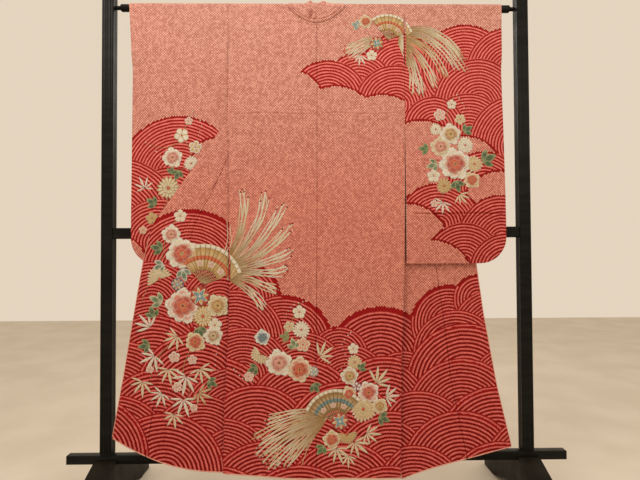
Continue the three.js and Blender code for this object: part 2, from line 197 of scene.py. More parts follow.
def set_piece(name, mesh, stands_for=None):
    """A mesh as a piece of the part, in place of a solid where it stands for one"""
    piece = bpy.data.objects.new(name, mesh)
    scene.collection.objects.link(piece)
    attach(piece, "root")
    if stands_for:
        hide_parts(stands_for)
    return piece


def eased(name, finish, edge):
    """A copy of a solid of the frame with its hard edges rounded"""
    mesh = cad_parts[name].data.copy()
    work = bmesh.new()
    work.from_mesh(mesh)
    bmesh.ops.remove_doubles(work, verts=work.verts, dist=1e-5)
    bmesh.ops.dissolve_limit(work, angle_limit=radians(1), verts=work.verts, edges=work.edges)
    hard = [e for e in work.edges if len(e.link_faces) == 2 and e.calc_face_angle() > radians(33)]
    bmesh.ops.bevel(
        work, geom=hard, offset=edge, segments=2, profile=0.5, affect="EDGES", clamp_overlap=True,
    )
    bmesh.ops.triangulate(work, faces=work.faces)
    bmesh.ops.recalc_face_normals(work, faces=work.faces)
    work.to_mesh(mesh)
    work.free()
    mesh.shade_smooth()
    mesh.set_sharp_from_angle(angle=radians(32))
    mesh.materials.clear()
    mesh.materials.append(finish)
    set_piece(name + "_eased", mesh, name)


black = stand_paint("satin_black", (0.0065, 0.006, 0.005), 0.38)
dull_black = stand_paint("dull_black", (0.008, 0.006, 0.004), 0.5)
for name in ("left_foot", "right_foot"):
    eased(name, dull_black, 0.003)
for name in ("low_bar", "left_post", "right_post", "middle_bar", "rod"):
    eased(name, black, 0.0012)


# The two back panels are widths of red silk crepe, tie-dyed all over: pale dots on a slant, and rings
# of dotted lines that overlap as waves. They come down from the rod to the hem, joined down the middle.
rod_z, rod_radius, rod_clear = 1719, 13, 0.6
cloth, seam_gap, ridge_gap = 2, 0.04, 0.27
rod_turn = rod_radius + rod_clear + cloth / 2
quarter = rod_turn * pi / 2
hem_z, sway_top = 117, 700
cloth_step, rim_step = 8, 1.6
neck_half, neck_z, neck_shoulder = 98, 1664, 104
yoke_z, back_crease = 1610, 1340


def by_height(*rows, soften=40):
    """A size read down the cloth: straight lines between the rows, with each bend rounded off"""
    heights, values = np.array(rows[::-1], float).T
    fine = np.arange(heights[0], heights[-1] + 1)
    total = np.concatenate([[0], np.cumsum(np.interp(fine, heights, values))])
    wide = np.minimum(soften, np.minimum(fine - fine[0], fine[-1] - fine)).astype(int)
    i = np.arange(len(fine))
    smooth = (total[i + wide + 1] - total[i - wide]) / (2 * wide + 1)
    return lambda z: np.interp(z, fine, smooth)


def steps(*stops, marks=()):
    """Even steps between stops, narrow at each end for the rolled edge and round each fold mark"""
    way = rim_step if stops[-1] > stops[0] else -rim_step
    ends = [stops[0] + way, *stops[1:-1], stops[-1] - way]
    parts = [np.array([stops[0], ends[0]])]
    for a, b in zip(ends, ends[1:]):
        parts.append(np.linspace(a, b, max(2, 1 + round(abs(b - a) / cloth_step)))[1:])
    parts.append(np.array([stops[-1]]))
    even = np.concatenate(parts)
    for mark in marks:
        even = np.concatenate([even[np.abs(even - mark) > 15.5], mark + np.arange(-14, 15, 2.0)])
    even.sort()
    return even[::-1] if stops[0] > stops[-1] else even


def ramp(value, low, high):
    """0 at low and 1 at high, held beyond them"""
    return np.clip((value - low) / (high - low), 0, 1)


def soft_step(value, low, high):
    t = ramp(value, low, high)
    return t * t * (3 - 2 * t)


def over_rod(x, face, turn):
    """Points on cloth that turns over the rod: face is -1 behind and 1 in front"""
    start = ridge_gap / rod_turn
    x, angle = np.broadcast_arrays(x, start + (pi / 2 - start) * turn)
    return np.stack([x, face * rod_turn * np.sin(angle), rod_z + rod_turn * np.cos(angle)], -1)


def hemmed(z, lift):
    """Heights with the hem lifted, which starts low on the skirt"""
    return z + lift * ramp(z, sway_top, hem_z) ** 1.3


def hem_wave(x, z):
    return 2.2 * ramp(z, sway_top, hem_z) * np.sin(x / 46)


class Side:
    """One half of the garment. Its sizes across are distances from the middle, in mm."""


left, right = Side(), Side()
left.name, left.sign = "left", -1
right.name, right.sign = "right", 1
left.seam = by_height(
    (1719, 305), (1345, 303), (1215, 299), (1045, 296), (742, 295), (609, 298), (376, 311), (117, 317),
)
right.seam = by_height((1719, 305), (1345, 301), (857, 293), (638, 286), (504, 279), (117, 274))
middle = by_height((1719, 2), (1385, 1), (875, -2), (607, -6), (117, -8))
back_y = by_height(
    (1719, -rod_turn), (1515, -22), (1327, -33), (1100, -43), (955, -48), (600, -50), (100, -48),
)
left.lift = lambda across: 21 + 116 * across**1.9
right.lift = lambda across: 100 * across**0.85 - 8


def neck_seam(x):
    return neck_z + (rod_z - neck_z) * (x / neck_half) ** 2


def neck_drop(x):
    """How far down the cloth the neck seam lies from the top of the rod"""
    climb = quarter * ramp(x, neck_shoulder, neck_half)
    return np.where(x <= neck_half, quarter + rod_z - neck_seam(x), climb)


def fold_mark(z, at_z, depth, above, below, ripple=0.0, x=0.0):
    """A fold pressed into the cloth: a soft rise above it, a narrow crease and a soft drop below"""
    off = z - at_z - ripple * np.sin(x / 37)
    slopes = np.exp(-np.abs(off) / np.where(off > 0, above, below))
    return depth * (0.95 * np.exp(-((off / 2.8) ** 2)) - slopes)


def ease(x, z, seed):
    """Slow swells of the hanging cloth, always towards the viewer"""
    swell = np.sin(x / 61 + seed) * np.sin(z / 173 + 2 * seed) + np.sin((x + z) / 97 + 3 * seed)
    return -0.35 * (swell + 2)


def back_face(side, x, z):
    """The middle of a back panel's cloth, at places that don't turn round the rod"""
    y = back_y(z) + hem_wave(x, z)
    far = np.abs(x)
    inner = ramp(far, 0, 14) * ramp(side.seam(z) - far, 0, 14) * ramp(z, 1700, 1640)
    y = y + ease(x, z, 1 + side.sign) * inner
    y = y + fold_mark(z, back_crease, 2.8, 30, 12, 2, x) * ramp(far, 5, 30) * ramp(far, 290, 265)
    for at_x, at_z, size in ((215, 940, 70), (255, 862, 45)):
        y = y + fold_mark(z, at_z + 0.12 * (x - at_x), 2.2, 5, 9) * np.exp(-(((x - at_x) / size) ** 4))
    rib = z - neck_seam(np.minimum(far, neck_half)) + 8
    return y - 1.3 * np.exp(-((rib / 3.5) ** 2)) * (far < 90)


def back_across(side, x, z):
    """Where a place on a back panel lies across. x runs from the middle seam to the shoulder's end."""
    inner = middle(z) + side.sign * seam_gap / 2
    return inner + (side.sign * side.seam(z) - inner) * x / side.seam(rod_z)


def back_lift(side, x):
    return side.lift(0) * (x / side.seam(rod_z)) ** 1.5 if side.sign < 0 else 0 * x


def back_panel(side):
    columns = steps(0, neck_half, neck_shoulder, side.seam(rod_z))
    columns = np.unique(np.concatenate([columns, np.linspace(neck_half, neck_shoulder, 9)]))
    down_to = quarter + rod_z
    hanging = steps(quarter, down_to - hem_z, marks=[down_to - z for z in (back_crease, 945, 865)])
    drops = np.concatenate([np.linspace(0, quarter, 9)[:-1], hanging[1:]])
    x, drop = np.meshgrid(columns, np.insert(drops, 8, quarter))
    yoke = quarter + rod_z - yoke_z
    start = neck_drop(x)
    down = np.where(drop < yoke, start + (yoke - start) * drop / yoke, drop)
    z = hemmed(rod_z - (down - quarter), back_lift(side, x))
    across = back_across(side, x, z)
    hanging = np.stack([across, back_face(side, across, z), z], -1)
    turned = over_rod(side.sign * x, -1, down / quarter)
    return np.where((down < quarter)[..., None], turned, hanging)


def lay_waves(discs, x, z, margin):
    """For each face, the four frontmost discs that meet it. discs go from the rear to the front."""
    found = np.zeros((4, len(x), 3))
    count = np.zeros(len(x), int)
    open_ = np.ones(len(x), bool)
    for cx, cz, r in reversed(discs):
        far = np.hypot(x - cx, z - cz)
        meets = open_ & (far < abs(r) + 9 + margin)
        for k in range(4):
            found[k, meets & (count == k)] = (cx / 1000, cz / 1000, r / 1000)
        count += meets
        open_ &= ~(meets & (far < abs(r) - margin - 6)) & (count < 4)
    return found


def shell(name, grid, thickness, dyed, discs, keep=None, rolled=(False, True, True, True), sunk=(0, 0)):
    """A sheet of cloth from a grid of points on its middle: a dyed face, a lining face and its rims.
    rolled says which of its four rims are thin, and sunk how far its first and last columns turn in."""
    rows, columns = grid.shape[:2]
    normal = np.cross(np.gradient(grid, axis=1), np.gradient(grid, axis=0)) * dyed
    normal /= np.linalg.norm(normal, axis=2, keepdims=True)
    grid = grid.copy()
    for k in (0, -1):
        grid[:, k] -= normal[:, k] * sunk[k] * ramp(grid[:, k, 2:], 1690, 1670)
    if keep is None:
        keep = np.ones((rows - 1, columns - 1), bool)
    half = np.full((rows, columns), thickness / 2)
    for on, edge in zip(rolled, (half[0], half[-1], half[:, 0], half[:, -1])):
        edge[:] = thickness / 2 * (0.3 if on else 1)
    points = np.concatenate([
        (grid + normal * half[..., None]).reshape(-1, 3),
        (grid - normal * half[..., None]).reshape(-1, 3),
    ])
    i = np.arange(rows * columns).reshape(rows, columns)
    a, b, c, d = i[:-1, :-1], i[:-1, 1:], i[1:, 1:], i[1:, :-1]
    face = np.stack([a, b, c, d], -1)[keep]
    behind = np.stack([a, d, c, b], -1)[keep] + rows * columns
    held = np.pad(keep, 1)
    rims = []
    for (p, q), beside in (
        ((a, b), held[:-2, 1:-1]), ((c, d), held[2:, 1:-1]),
        ((d, a), held[1:-1, :-2]), ((b, c), held[1:-1, 2:]),
    ):
        edge = keep & ~beside
        rims.append(np.stack([p[edge], p[edge] + rows * columns, q[edge] + rows * columns, q[edge]], -1))
    rims = np.concatenate(rims)
    faces = np.concatenate([face, rims, behind])
    if dyed < 0:
        faces = faces[:, ::-1]
    mesh = bpy.data.meshes.new(name + "_silk")
    mesh.from_pydata((points / 1000).tolist(), [], faces.tolist())
    mesh.polygons.foreach_set("material_index", [0] * (len(face) + len(rims)) + [1] * len(behind))
    mesh.materials.append(dyed_silk)
    mesh.materials.append(lining_silk)
    mesh.shade_smooth()
    mesh.set_sharp_from_angle(angle=radians(50))
    centres = points[faces].mean(1)
    size = np.linalg.norm(points[faces[:, 0]] - points[faces[:, 2]], axis=1) / 2
    found = lay_waves(discs, centres[:, 0], centres[:, 2], size)
    for k in range(4):
        layer = mesh.attributes.new("wave_" + "abcd"[k], "FLOAT_VECTOR", "FACE")
        layer.data.foreach_set("vector", found[k].ravel())
    lay_out(mesh, faces, len(face) + len(rims), rows, columns)
    sheets[name] = set_piece(name + "_silk", mesh, name)


def lay_out(mesh, faces, fronts, rows, columns):
    """Where the bake puts each face: the dyed side in three strips, the lining in a low band"""
    r, c = np.divmod(faces % (rows * columns), columns)
    t, s = r / (rows - 1), c / (columns - 1)
    strip = np.minimum(np.floor(t.mean(1, keepdims=True) * 3), 2)
    u = (strip + 0.02 + 0.96 * s) / 3
    v = 0.2 + 0.79 * (3 * t - strip)
    u[fronts:], v[fronts:] = 0.01 + 0.98 * s[fronts:], 0.01 + 0.16 * t[fronts:]
    mesh.uv_layers.new(name="OFBake").data.foreach_set("uv", np.stack([u, v], -1).ravel())


dot_pitch, ring_pitch, ring_edge, broad_border = 0.0062, 0.0108, 0.0068, 0.0075


def tie_dyed(name):
    """Pale dots on red, and rings of pale lines wherever a disc of waves lies. Sizes here are in metres."""
    made, shade, feed = material(name, 0.6, Sheen_Weight=0.03, Sheen_Roughness=0.4, Specular_IOR_Level=0.1)
    x = shade.add("SeparateXYZ", None, {0: place(shade)})
    z = x.outlet(2)
    # The dots lie in slanted rows, each with its own luck. knot is a place's distance from its dot.
    slant, other = (x + z) / (2**0.5 * dot_pitch), (x - z) / (2**0.5 * dot_pitch)
    p, q = slant.maths("FLOOR", slant), slant.maths("FLOOR", other)
    in_p, in_q = slant - p - 0.5, other - q - 0.5
    knot = in_p.maths("SQRT", in_p * in_p + in_q * in_q)
    cell_x = (p + q + 1) * (dot_pitch / 2**0.5)
    cell_z = (p - q) * (dot_pitch / 2**0.5)
    luck = shade.add("TexWhiteNoise", {"noise_dimensions": "2D"}, {
        "Vector": shade.add("CombineXYZ", None, {0: p, 1: q}),
    })
    # The border is broad low down and in the middle of the right side, and lines there lie wider apart
    low = z.fade(0.85, 0.7)
    broad = low.maths("MAXIMUM", low, z.fade(1.15, 1.0) * x.fade(0.31, 0.29))
    border = broad * broad_border + ring_edge
    wobble = (cloudy(shade, 24.0, 2.0) - 0.5) * 0.007 + (cloudy(shade, 130.0, 1.0) - 0.5) * 0.003
    # depth is how far inside a wave a place lies, and below 0 it has dots. The discs go from the rear
    # to the front: a radius above 0 is a wave, and one below 0 a patch of dots laid on waves.
    depth = shade.add("Value")
    depth.socket.default_value = -1
    for letter in "dcba":
        disc = shade.add("Attribute", {"attribute_name": "wave_" + letter}, out=1)
        cx = shade.add("SeparateXYZ", None, {0: disc})
        cz, signed = cx.outlet(1), cx.outlet(2)
        radius = signed.maths("ABSOLUTE", signed)
        dx, dz, kx, kz = x - cx, z - cz, cell_x - cx, cell_z - cz
        near = dx.maths("SQRT", dx * dx + dz * dz)
        stepped = dx.maths("SQRT", kx * kx + kz * kz)
        dots_here = depth < 0
        test = dots_here.between(near, stepped)
        wave = (test < radius) * (signed > 0)
        patch = (stepped < radius) * (signed < 0)
        rim = (near < radius + ring_edge) * (signed < 0) * (1 - dots_here) * (1 - patch)
        inside = depth.maths("MAXIMUM", radius - near, 0) + wobble.maths("ABSOLUTE", wobble)
        inside = inside * (radius.fade(0.165, 0.205) * low).between(1.0, 0.82)
        depth = wave.between(depth, inside + (1 - dots_here) * ring_pitch)
        depth = patch.between(depth, -1)
        depth = rim.between(depth, 0)
    dots = depth < 0
    ring = (depth - border) / ring_pitch
    ring = ring - ring.maths("FLOOR", ring)
    line = ring.fade(0.0, 0.2) * ring.fade(0.66, 0.44) * (depth > border)
    dot = knot.fade(0.5, 0.3) * knot.fade(0.04, 0.16)
    uneven = cloudy(shade, 60.0, 3.0).fade(0.3, 0.7)
    drift = cloudy(shade, 2.2, 1.0).fade(0.25, 0.75)
    # Dots are strong or weak one by one, and lines are beaded by the same dots
    strong = luck.between(0.55, 1.0) * uneven.between(0.86, 1.0)
    dotted = dot.between(0.27, 1.0) * strong
    lined = line * dot.between(0.58, 1.0) * uneven.between(0.70, 1.0)
    pale = dots.between(lined, dotted)
    # Painted light and shade: the reds, the lines and the dots are coloured lighter towards the top of the
    # cloth and darker low down, as the lamps above light it
    high = z.fade(0.5, 1.6)
    waves = high.pick((0.170, 0.0010, 0.0002), (0.285, 0.005, 0.004))
    waves = ((depth < border) * broad).pick(waves, (0.270, 0.0045, 0.005))
    ground = dots.pick(waves, drift.pick((0.195, 0.0025, 0.0008), (0.235, 0.004, 0.0015)))
    lines = high.pick((0.88, 0.195, 0.170), (0.97, 0.270, 0.235))
    tint = dots.pick(lines, z.fade(0.9, 1.7).pick((0.94, 0.42, 0.315), (0.98, 0.575, 0.465)))
    feed("Base Color", pale.pick(ground, tint))
    feed("Roughness", pale * 0.12 + 0.55)
    weave = shade.add("TexNoise", None, {
        "Vector": shade.add("Mapping", None, {"Vector": place(shade), "Scale": (1500, 300, 420)}),
        "Scale": 1.0,
    })
    feed("Normal", bumped(shade, pale + weave * 0.25, 0.0007, 0.55))
    return made


dyed_silk = tie_dyed("dyed_silk")
lining_silk, shade, feed = material("lining_silk", 0.5, Sheen_Weight=0.2)
cross = cloudy(shade, 1.0, 1.0, shade.add("Mapping", None, {
    "Vector": place(shade), "Scale": (900, 300, 1300),
}))
feed("Base Color", cloudy(shade, 5.0).fade(0.3, 0.7).pick((0.78, 0.70, 0.60), (0.84, 0.77, 0.67)))
feed("Normal", bumped(shade, cross, 0.0003, 0.5))


def wave_rows(top, start, end, seed):
    """Rows of waves down to the hem, each row in front of the one above it"""
    luck = np.random.default_rng(seed)
    discs = []
    for k, z in enumerate(np.arange(top, -60, -92)):
        for x in np.arange(start + 138 * (k % 2), end, 276):
            discs.append((x + luck.uniform(-20, 20), z + luck.uniform(-10, 10), luck.uniform(180, 205)))
    return discs


back_discs = [
    (285, 1490, 135), (145, 1435, 120), (40, 1390, 138), (272, 1370, 142),
    (-90, 1380, -112), (-75, 1245, -60), (65, 1295, -140), (225, 1265, -140),
    (-250, 710, 130), (-115, 555, 170), (-280, 575, 170), (210, 490, 195), (70, 520, 100),
    (-60, 440, 165), (-250, 455, 165), (100, 420, 140), (280, 395, 140), *wave_rows(330, -330, 400, 3),
]
sheets = {}
for side in (left, right):
    shell(side.name + "_back", back_panel(side), cloth, -side.sign, back_discs, sunk=(1.7, 0))

# The fronts are opened and folded back on themselves, so that their dyed side shows beside the back.
# Each is a wide panel from the side seam, then the collar, and below it the narrow overlap panel.
left.edge = by_height(
    (1719, 24), (1327, 301), (965, 556), (838, 586), (744, 602), (458, 649), (117, 710), soften=25,
)
right.edge = by_height(
    (1719, 24), (1327, 275), (960, 525), (825, 542), (651, 565), (414, 606), (117, 674), soften=25,
)
left.panel = by_height(
    (1719, 213), (1515, 228), (1327, 240), (1100, 244), (1005, 254), (760, 272), (458, 284), (117, 277),
)
right.panel = by_height(
    (1719, 213), (1515, 228), (1327, 240), (1005, 256), (825, 261), (651, 262), (414, 248), (117, 240),
)
left.inner, right.inner = (by_height(
    (1719, rod_turn), (1515, y), (1345, -29.5), (1100, -40.4), (955, -45.4), (600, -47.4), (100, -45.4),
) for y in (6, 3))
left.outer = by_height(
    (1719, 19), (1515, 13), (1345, -24), (1100, -33), (955, -36), (600, -39), (100, -40),
)
right.outer = by_height(
    (1719, 19), (1515, 10), (1345, -7), (1100, -20), (955, -25), (600, -28), (100, -33.4),
)
front_width = by_height(
    (1719, 268), (1600, 285), (1500, 295), (1327, 310), (1193, 335), (1100, 362), (965, 400), (100, 400),
)
collar_take = by_height((1100, 3), (1005, 10), (928, 36), (100, 36), soften=10)
okumi_tip, collar_end, collar_cloth = 1100, 928, 2.4
all_thin = (True,) * 4


def fold_at(side, z):
    """The width of cloth, from the side seam, at which the front folds back"""
    total = front_width(z)
    fold = (side.seam(z) + total - side.edge(z)) / 2
    return np.where(fold > total, total + 40, fold)


def front_face(side, width, z):
    """Points of a front: in behind the back, round the fold, and out again beside the back"""
    near = side.inner(z)
    radius = (side.outer(z) - near) / 2
    half = pi * radius / 2
    fold = fold_at(side, z)
    seam = side.seam(z)
    start = seam - (fold - half)
    angle = np.clip((width - fold + half) / radius, 0, pi)
    past = np.maximum(width - fold - half, 0)
    before = width <= fold - half
    x = np.where(before, seam - width, start - radius * np.sin(angle) + past)
    y = near + np.where(before, 0, radius * (1 - np.cos(angle))) + hem_wave(x, z)
    shown = ramp(x - seam, -20, 20) * ramp(past, 0, 60) * ramp(front_width(z) - width, 0, 30)
    y = y + 1.2 * ease(x * side.sign, z, 2.2 + side.sign) * shown
    return np.stack([side.sign * x, y, z + 0 * x], -1)


def front_hem(side, width, z):
    """Heights on a front with its hem lifted, more towards its open edge"""
    return hemmed(z, side.lift(ramp(width, 14, 400)))


def front_grid(side, heights, start, end, cells):
    """A grid over a stretch of the front between two widths, with extra columns on the fold"""
    z = heights[:, None]
    a, b = start(z), end(z)
    radius = (side.outer(z) - side.inner(z)) / 2
    half, fold = pi * radius / 2, fold_at(side, z)
    inside = (fold - half > a + 1) & (fold + half < b - 1)
    turn = np.where(inside, half, 2)
    centre = np.where(inside, fold, np.clip(fold, a + 5, b - 5))

    def part(low, high, n):
        return low + (high - low) * np.linspace(0, 1, n, endpoint=False)

    before, after = cells
    width = np.concatenate([
        a, part(a + rim_step, centre - turn, before), part(centre - turn, centre + turn, 12),
        part(centre + turn, b - rim_step, after), b - rim_step, b,
    ], 1)
    grid = front_face(side, width, front_hem(side, width, z + 0 * width))
    top = side.sign * (side.seam(rod_z) - width[:1])
    return np.concatenate([over_rod(top, 1, np.linspace(0, 1, 9)[:-1, None]), grid])


left_front_discs = [
    (-430, 800, 215), (-440, 700, 150), (-555, 690, 150), (-330, 690, 130), (-420, 610, 136),
    (-560, 570, 155), (-300, 560, 120), *wave_rows(480, -820, -150, 5), (-513, 132, 204), (-759, 195, 197),
]
right_front_discs = [
    (210, 490, 195), (445, 625, 130), (545, 705, 85), (600, 590, 150), (470, 520, 150),
    (280, 395, 140), (500, 420, 205), (660, 400, 150), *wave_rows(310, 200, 800, 8),
]
hanging = np.unique(np.append(
    steps(rod_z, okumi_tip, collar_end, hem_z),
    [okumi_tip - rim_step, collar_end + rim_step, collar_end - rim_step],
))[::-1]
for side, discs in ((left, left_front_discs), (right, right_front_discs)):
    facing = -side.sign
    panel_end = lambda z: side.panel(z) - seam_gap / 2
    grid = front_grid(side, hanging, lambda z: 0 * z, panel_end, (16, 16))
    shell(side.name + "_front", grid, cloth, facing, discs, sunk=(0, 1.5))
    take = lambda z: side.panel(z) + np.where(z > okumi_tip, 0, collar_take(z))
    collar = np.append(hanging[hanging > collar_end], collar_end + seam_gap)
    grid = front_grid(side, collar, lambda z: take(z) + seam_gap / 2, front_width, (5, 6))
    shell(side.name + "_collar", grid, collar_cloth, facing, discs, sunk=(1.3, 0))
    low = hanging[hanging <= okumi_tip]
    z = low[:, None]
    a, step, b = side.panel(z) + seam_gap / 2, take(z) - seam_gap / 2, front_width(z)
    run = np.linspace(0, 1, 7)
    inner = np.concatenate([a, a + 1 + (step - a - 2) * run, step], 1)
    run = np.linspace(0, 1, 16)
    outer = np.concatenate([step + rim_step + (b - step - 2 * rim_step) * run, b], 1)
    width = np.concatenate([inner, outer], 1)
    grid = front_face(side, width, front_hem(side, width, z + 0 * width))
    keep = np.ones((len(low) - 1, width.shape[1] - 1), bool)
    keep[low[:-1] > collar_end, 8:] = False
    shell(side.name + "_okumi", grid, cloth, facing, discs, keep, all_thin, (1.5, 0))

# Each sleeve is one long width of the same silk, folded over the rod and sewn along its bottom and
# up its outer edge as far as the cuff. Here its two walls are a piece each.
left.walls = {
    -1: by_height((rod_z, -rod_turn), (1515, -20), (1327, -20), (1100, -25), (955, -27.4), (820, -26.6)),
    1: by_height((rod_z, rod_turn), (1515, 6), (1327, -5), (1100, -15), (955, -22.4), (820, -24.3)),
}
right.walls = {
    -1: by_height((rod_z, -rod_turn), (1515, -22), (1327, -33), (1100, -42), (955, -46), (820, -44)),
    1: by_height((rod_z, rod_turn), (1515, 3), (1327, -17), (1100, -32), (955, -38), (820, -41.7)),
}
left.cuff = by_height((1733, 646), (1631, 639), (1534, 634), (820, 631))
right.cuff = by_height((1733, 646), (1631, 643), (1385, 641), (820, 640))
sleeve_inner, sleeve_bottom, sleeve_corner, cuff_opening = 305.3, 828, 90, 1505
low_crease, high_crease = 996, 1178


def cuff_edge(side, z):
    drop = np.clip(sleeve_bottom + sleeve_corner - z, 0, sleeve_corner)
    return side.cuff(z) - sleeve_corner + np.sqrt(sleeve_corner**2 - drop**2)


def wall_face(side, face, x, z):
    """How far in front a sleeve's wall hangs. x is a distance from the middle."""
    own, opposite = side.walls[face](z), side.walls[-face](z)
    centre, least = (own + opposite) / 2, (cloth + seam_gap) / 2
    opened = soft_step(z, cuff_opening - 20, cuff_opening + 60)
    cuff_side = opened + (1 - opened) * soft_step(cuff_edge(side, z) - x, 0, 90)
    half = least + (np.abs(own - centre) - least) * cuff_side * soft_step(z - sleeve_bottom, 0, 100)
    y = centre + np.sign(own - centre) * half
    if face < 0:
        inside = ramp(x, 312, 332) * ramp(cuff_edge(side, z) - x, 0, 20)
        inside = inside * ramp(z - sleeve_bottom, 0, 30) * ramp(z, 1700, 1640)
        y = y + ease(x * side.sign, z, 4 + side.sign) * inside
        if side.sign > 0:
            marks = fold_mark(z, low_crease, 6.6, 45, 16, 1.5, x)
            marks = marks + fold_mark(z, high_crease, 5.0, 10, 26, 2, x) * ramp(x, 470, 410)
            y = y + marks * inside
    return y


def sleeve_wall(side, face):
    hanging = steps(rod_z, 900, marks=(low_crease, high_crease) if side.sign > 0 else ())
    heights = np.concatenate([hanging, np.arange(896, 836, -3), np.linspace(836, sleeve_bottom, 9)])
    z = np.unique(heights)[::-1][:, None]
    run = steps(0, 330)[None] / 330
    x = np.where(z > 1515, sleeve_inner, np.maximum(side.seam(z) + 0.7, 301))
    x = x + (cuff_edge(side, z) - x) * run
    z = z + 0 * x
    grid = np.stack([side.sign * x, wall_face(side, face, x, z), z], -1)
    top = sleeve_inner + (cuff_edge(side, rod_z + rod_turn) - sleeve_inner) * run
    return np.concatenate([over_rod(side.sign * top, face, np.linspace(0, 1, 9)[:-1, None]), grid])


left_sleeve_discs = [
    (-470, 1125, 210), (-350, 1185, -72), (-500, 1010, 150), (-690, 955, 240), (-540, 900, 150),
    (-690, 815, -115),
]
right_sleeve_discs = [
    (285, 1490, 135), (272, 1370, 142), (515, 1500, 155), (670, 1490, 155), (560, 1375, 160),
    (520, 1262, 150), (700, 1225, 185), (400, 1295, 105), (355, 1170, -145), (500, 1120, -140),
    (570, 1080, 130), (625, 1005, -135), (410, 955, 145), (625, 905, 155), (300, 890, -140), (495, 830, 135),
    (640, 800, 130), (385, 765, -140),
]
for side, discs in ((left, left_sleeve_discs), (right, right_sleeve_discs)):
    for face, word in ((-1, "back"), (1, "front")):
        dyed = side.sign * face
        shell(f"{side.name}_sleeve_{word}", sleeve_wall(side, face), cloth, dyed, discs)

# The collar goes round behind the neck. Laid on the back along the neck seam, it stands up over the
# rod in two soft bunches.
neck_level, neck_x = np.meshgrid(
    np.linspace(0, 1, 54), np.linspace(-neck_half, neck_half, 124), indexing="ij",
)
laid_off = (cloth + collar_cloth) / 2 + 0.3
low = neck_seam(neck_x) - 3
high = rod_z + rod_turn - 4
for at_x, height, width in ((-22, 16.5, 13), (25, 15, 20)):
    high = high + height * np.exp(-(((neck_x - at_x) / width) ** 2))
z = low + (high - low) * neck_level
climb = ramp(z - rod_z, 0, rod_turn + laid_off)
lean = np.maximum(0.1, np.sqrt(1 - climb**2))
y = np.where(z < rod_z, back_y(z) - laid_off, -(rod_turn + laid_off) * lean)
# It bulges between its two edges, with small pleats in the middle
bulge = neck_level * (1 - neck_level)
pleat = np.sin(neck_x / 6.5 + 3 * neck_level) + 0.7 * np.sin(neck_x / 3.7 - 5 * neck_level + 1)
y = y - 7 * bulge - 2.6 * bulge * pleat * np.exp(-((neck_x / 45) ** 2))
# A rib runs along the seam with a groove above it. Over that lie a slanted hollow and two grooves.
rise = z - low
y = y - 2.0 * np.exp(-(((rise - 5.5) / 3.4) ** 2))
hollow = 3.4 * np.exp(-(((rise - 12) / 2.2) ** 2)) * ramp(np.abs(neck_x), 93, 81)
valley = -7 - 12 * ramp(z, 1708, 1738)
slant = neck_x + 17 - 0.3 * (z - 1690)
dents = 14 * np.exp(-(((z - 1688) / 15) ** 2) - (slant / np.where(slant < 0, 10, 4.5)) ** 2)
dents = dents + 6 * np.exp(-(((z - 1687) / 11) ** 2) - ((neck_x + 1) / 2.6) ** 2)
hollow = hollow + dents * soft_step(rise, 3, 12)
hollow = hollow + 4.5 * np.exp(-(((neck_x - valley) / 2.8) ** 2)) * soft_step(z, 1700, 1710)
y = np.minimum(y + hollow, -1.4 - 15 * lean * soft_step(z, rod_z - 22, rod_z - 13))
neck_grid = np.stack([neck_x, y, z], -1)
shell("neck_collar", neck_grid, collar_cloth, 1, [], rolled=all_thin)

# The lining's salmon border is rolled out a little past the silk along the hem and up the open edges,
# as a thin padded lip. It is sewn to the same edge as the silk.
def lip(name, path, radius=2.1):
    """A closed round lip along a line of points, in mm"""
    sides = 8
    along = np.gradient(path, axis=0)
    along /= np.linalg.norm(along, axis=1, keepdims=True)
    beside = np.cross(along, (0, 1, 0))
    beside /= np.linalg.norm(beside, axis=1, keepdims=True)
    front = np.cross(beside, along)
    turn = np.arange(sides)[:, None] * 2 * pi / sides
    size = np.full(len(path), radius)
    size[[0, -1]] = radius * 0.4
    ring = beside[:, None] * np.cos(turn) + front[:, None] * np.sin(turn)
    points = path[:, None] + ring * size[:, None, None]
    i = np.arange(len(path) * sides).reshape(len(path), sides)
    j = np.roll(i, -1, 1)
    faces = np.stack([i[:-1], j[:-1], j[1:], i[1:]], -1).reshape(-1, 4).tolist()
    faces += [i[0][::-1].tolist(), i[-1].tolist()]
    mesh = bpy.data.meshes.new(name)
    mesh.from_pydata((points.reshape(-1, 3) / 1000).tolist(), [], faces)
    mesh.shade_smooth()
    mesh.materials.append(lip_silk)
    work = bmesh.new()
    work.from_mesh(mesh)
    bmesh.ops.recalc_face_normals(work, faces=work.faces)
    work.to_mesh(mesh)
    work.free()
    return set_piece(name, mesh)


lip_silk, shade, feed = material("lip_silk", 0.5, Sheen_Weight=0.2)
feed("Base Color", cloudy(shade, 30.0).fade(0.3, 0.7).pick((0.60, 0.21, 0.15), (0.72, 0.33, 0.24)))
feed("Normal", bumped(shade, cloudy(shade, 260.0, 2.0), 0.0004, 0.5))
lip_drop = 0.8
lips = {name: [] for name in sheets}
for side in (left, right):
    across = np.linspace(1.5, side.seam(rod_z) - 1.5, 60)
    z = hemmed(hem_z + 0 * across, back_lift(side, across))
    x = back_across(side, across, z)
    hem = np.stack([x, back_face(side, x, z), z - lip_drop], -1)
    lips[side.name + "_back"].append(lip(side.name + "_back_hem", hem))
    panel, total = side.panel(hem_z), front_width(hem_z)
    for name, start, end in (("_front", 1.5, panel - 1.5), ("_okumi", panel + 1.5, total - 1)):
        width = np.linspace(start, end, 90)
        hem = front_face(side, width, front_hem(side, width, hem_z + 0 * width)) - (0, 0, lip_drop)
        lips[side.name + name].append(lip(side.name + name + "_hem", hem))
    z = hemmed(np.linspace(collar_end - 3, hem_z + 2, 110), side.lift(1.0))
    edge = lip(side.name + "_okumi_edge", front_face(side, front_width(z), z), 1.4)
    lips[side.name + "_okumi"].append(edge)

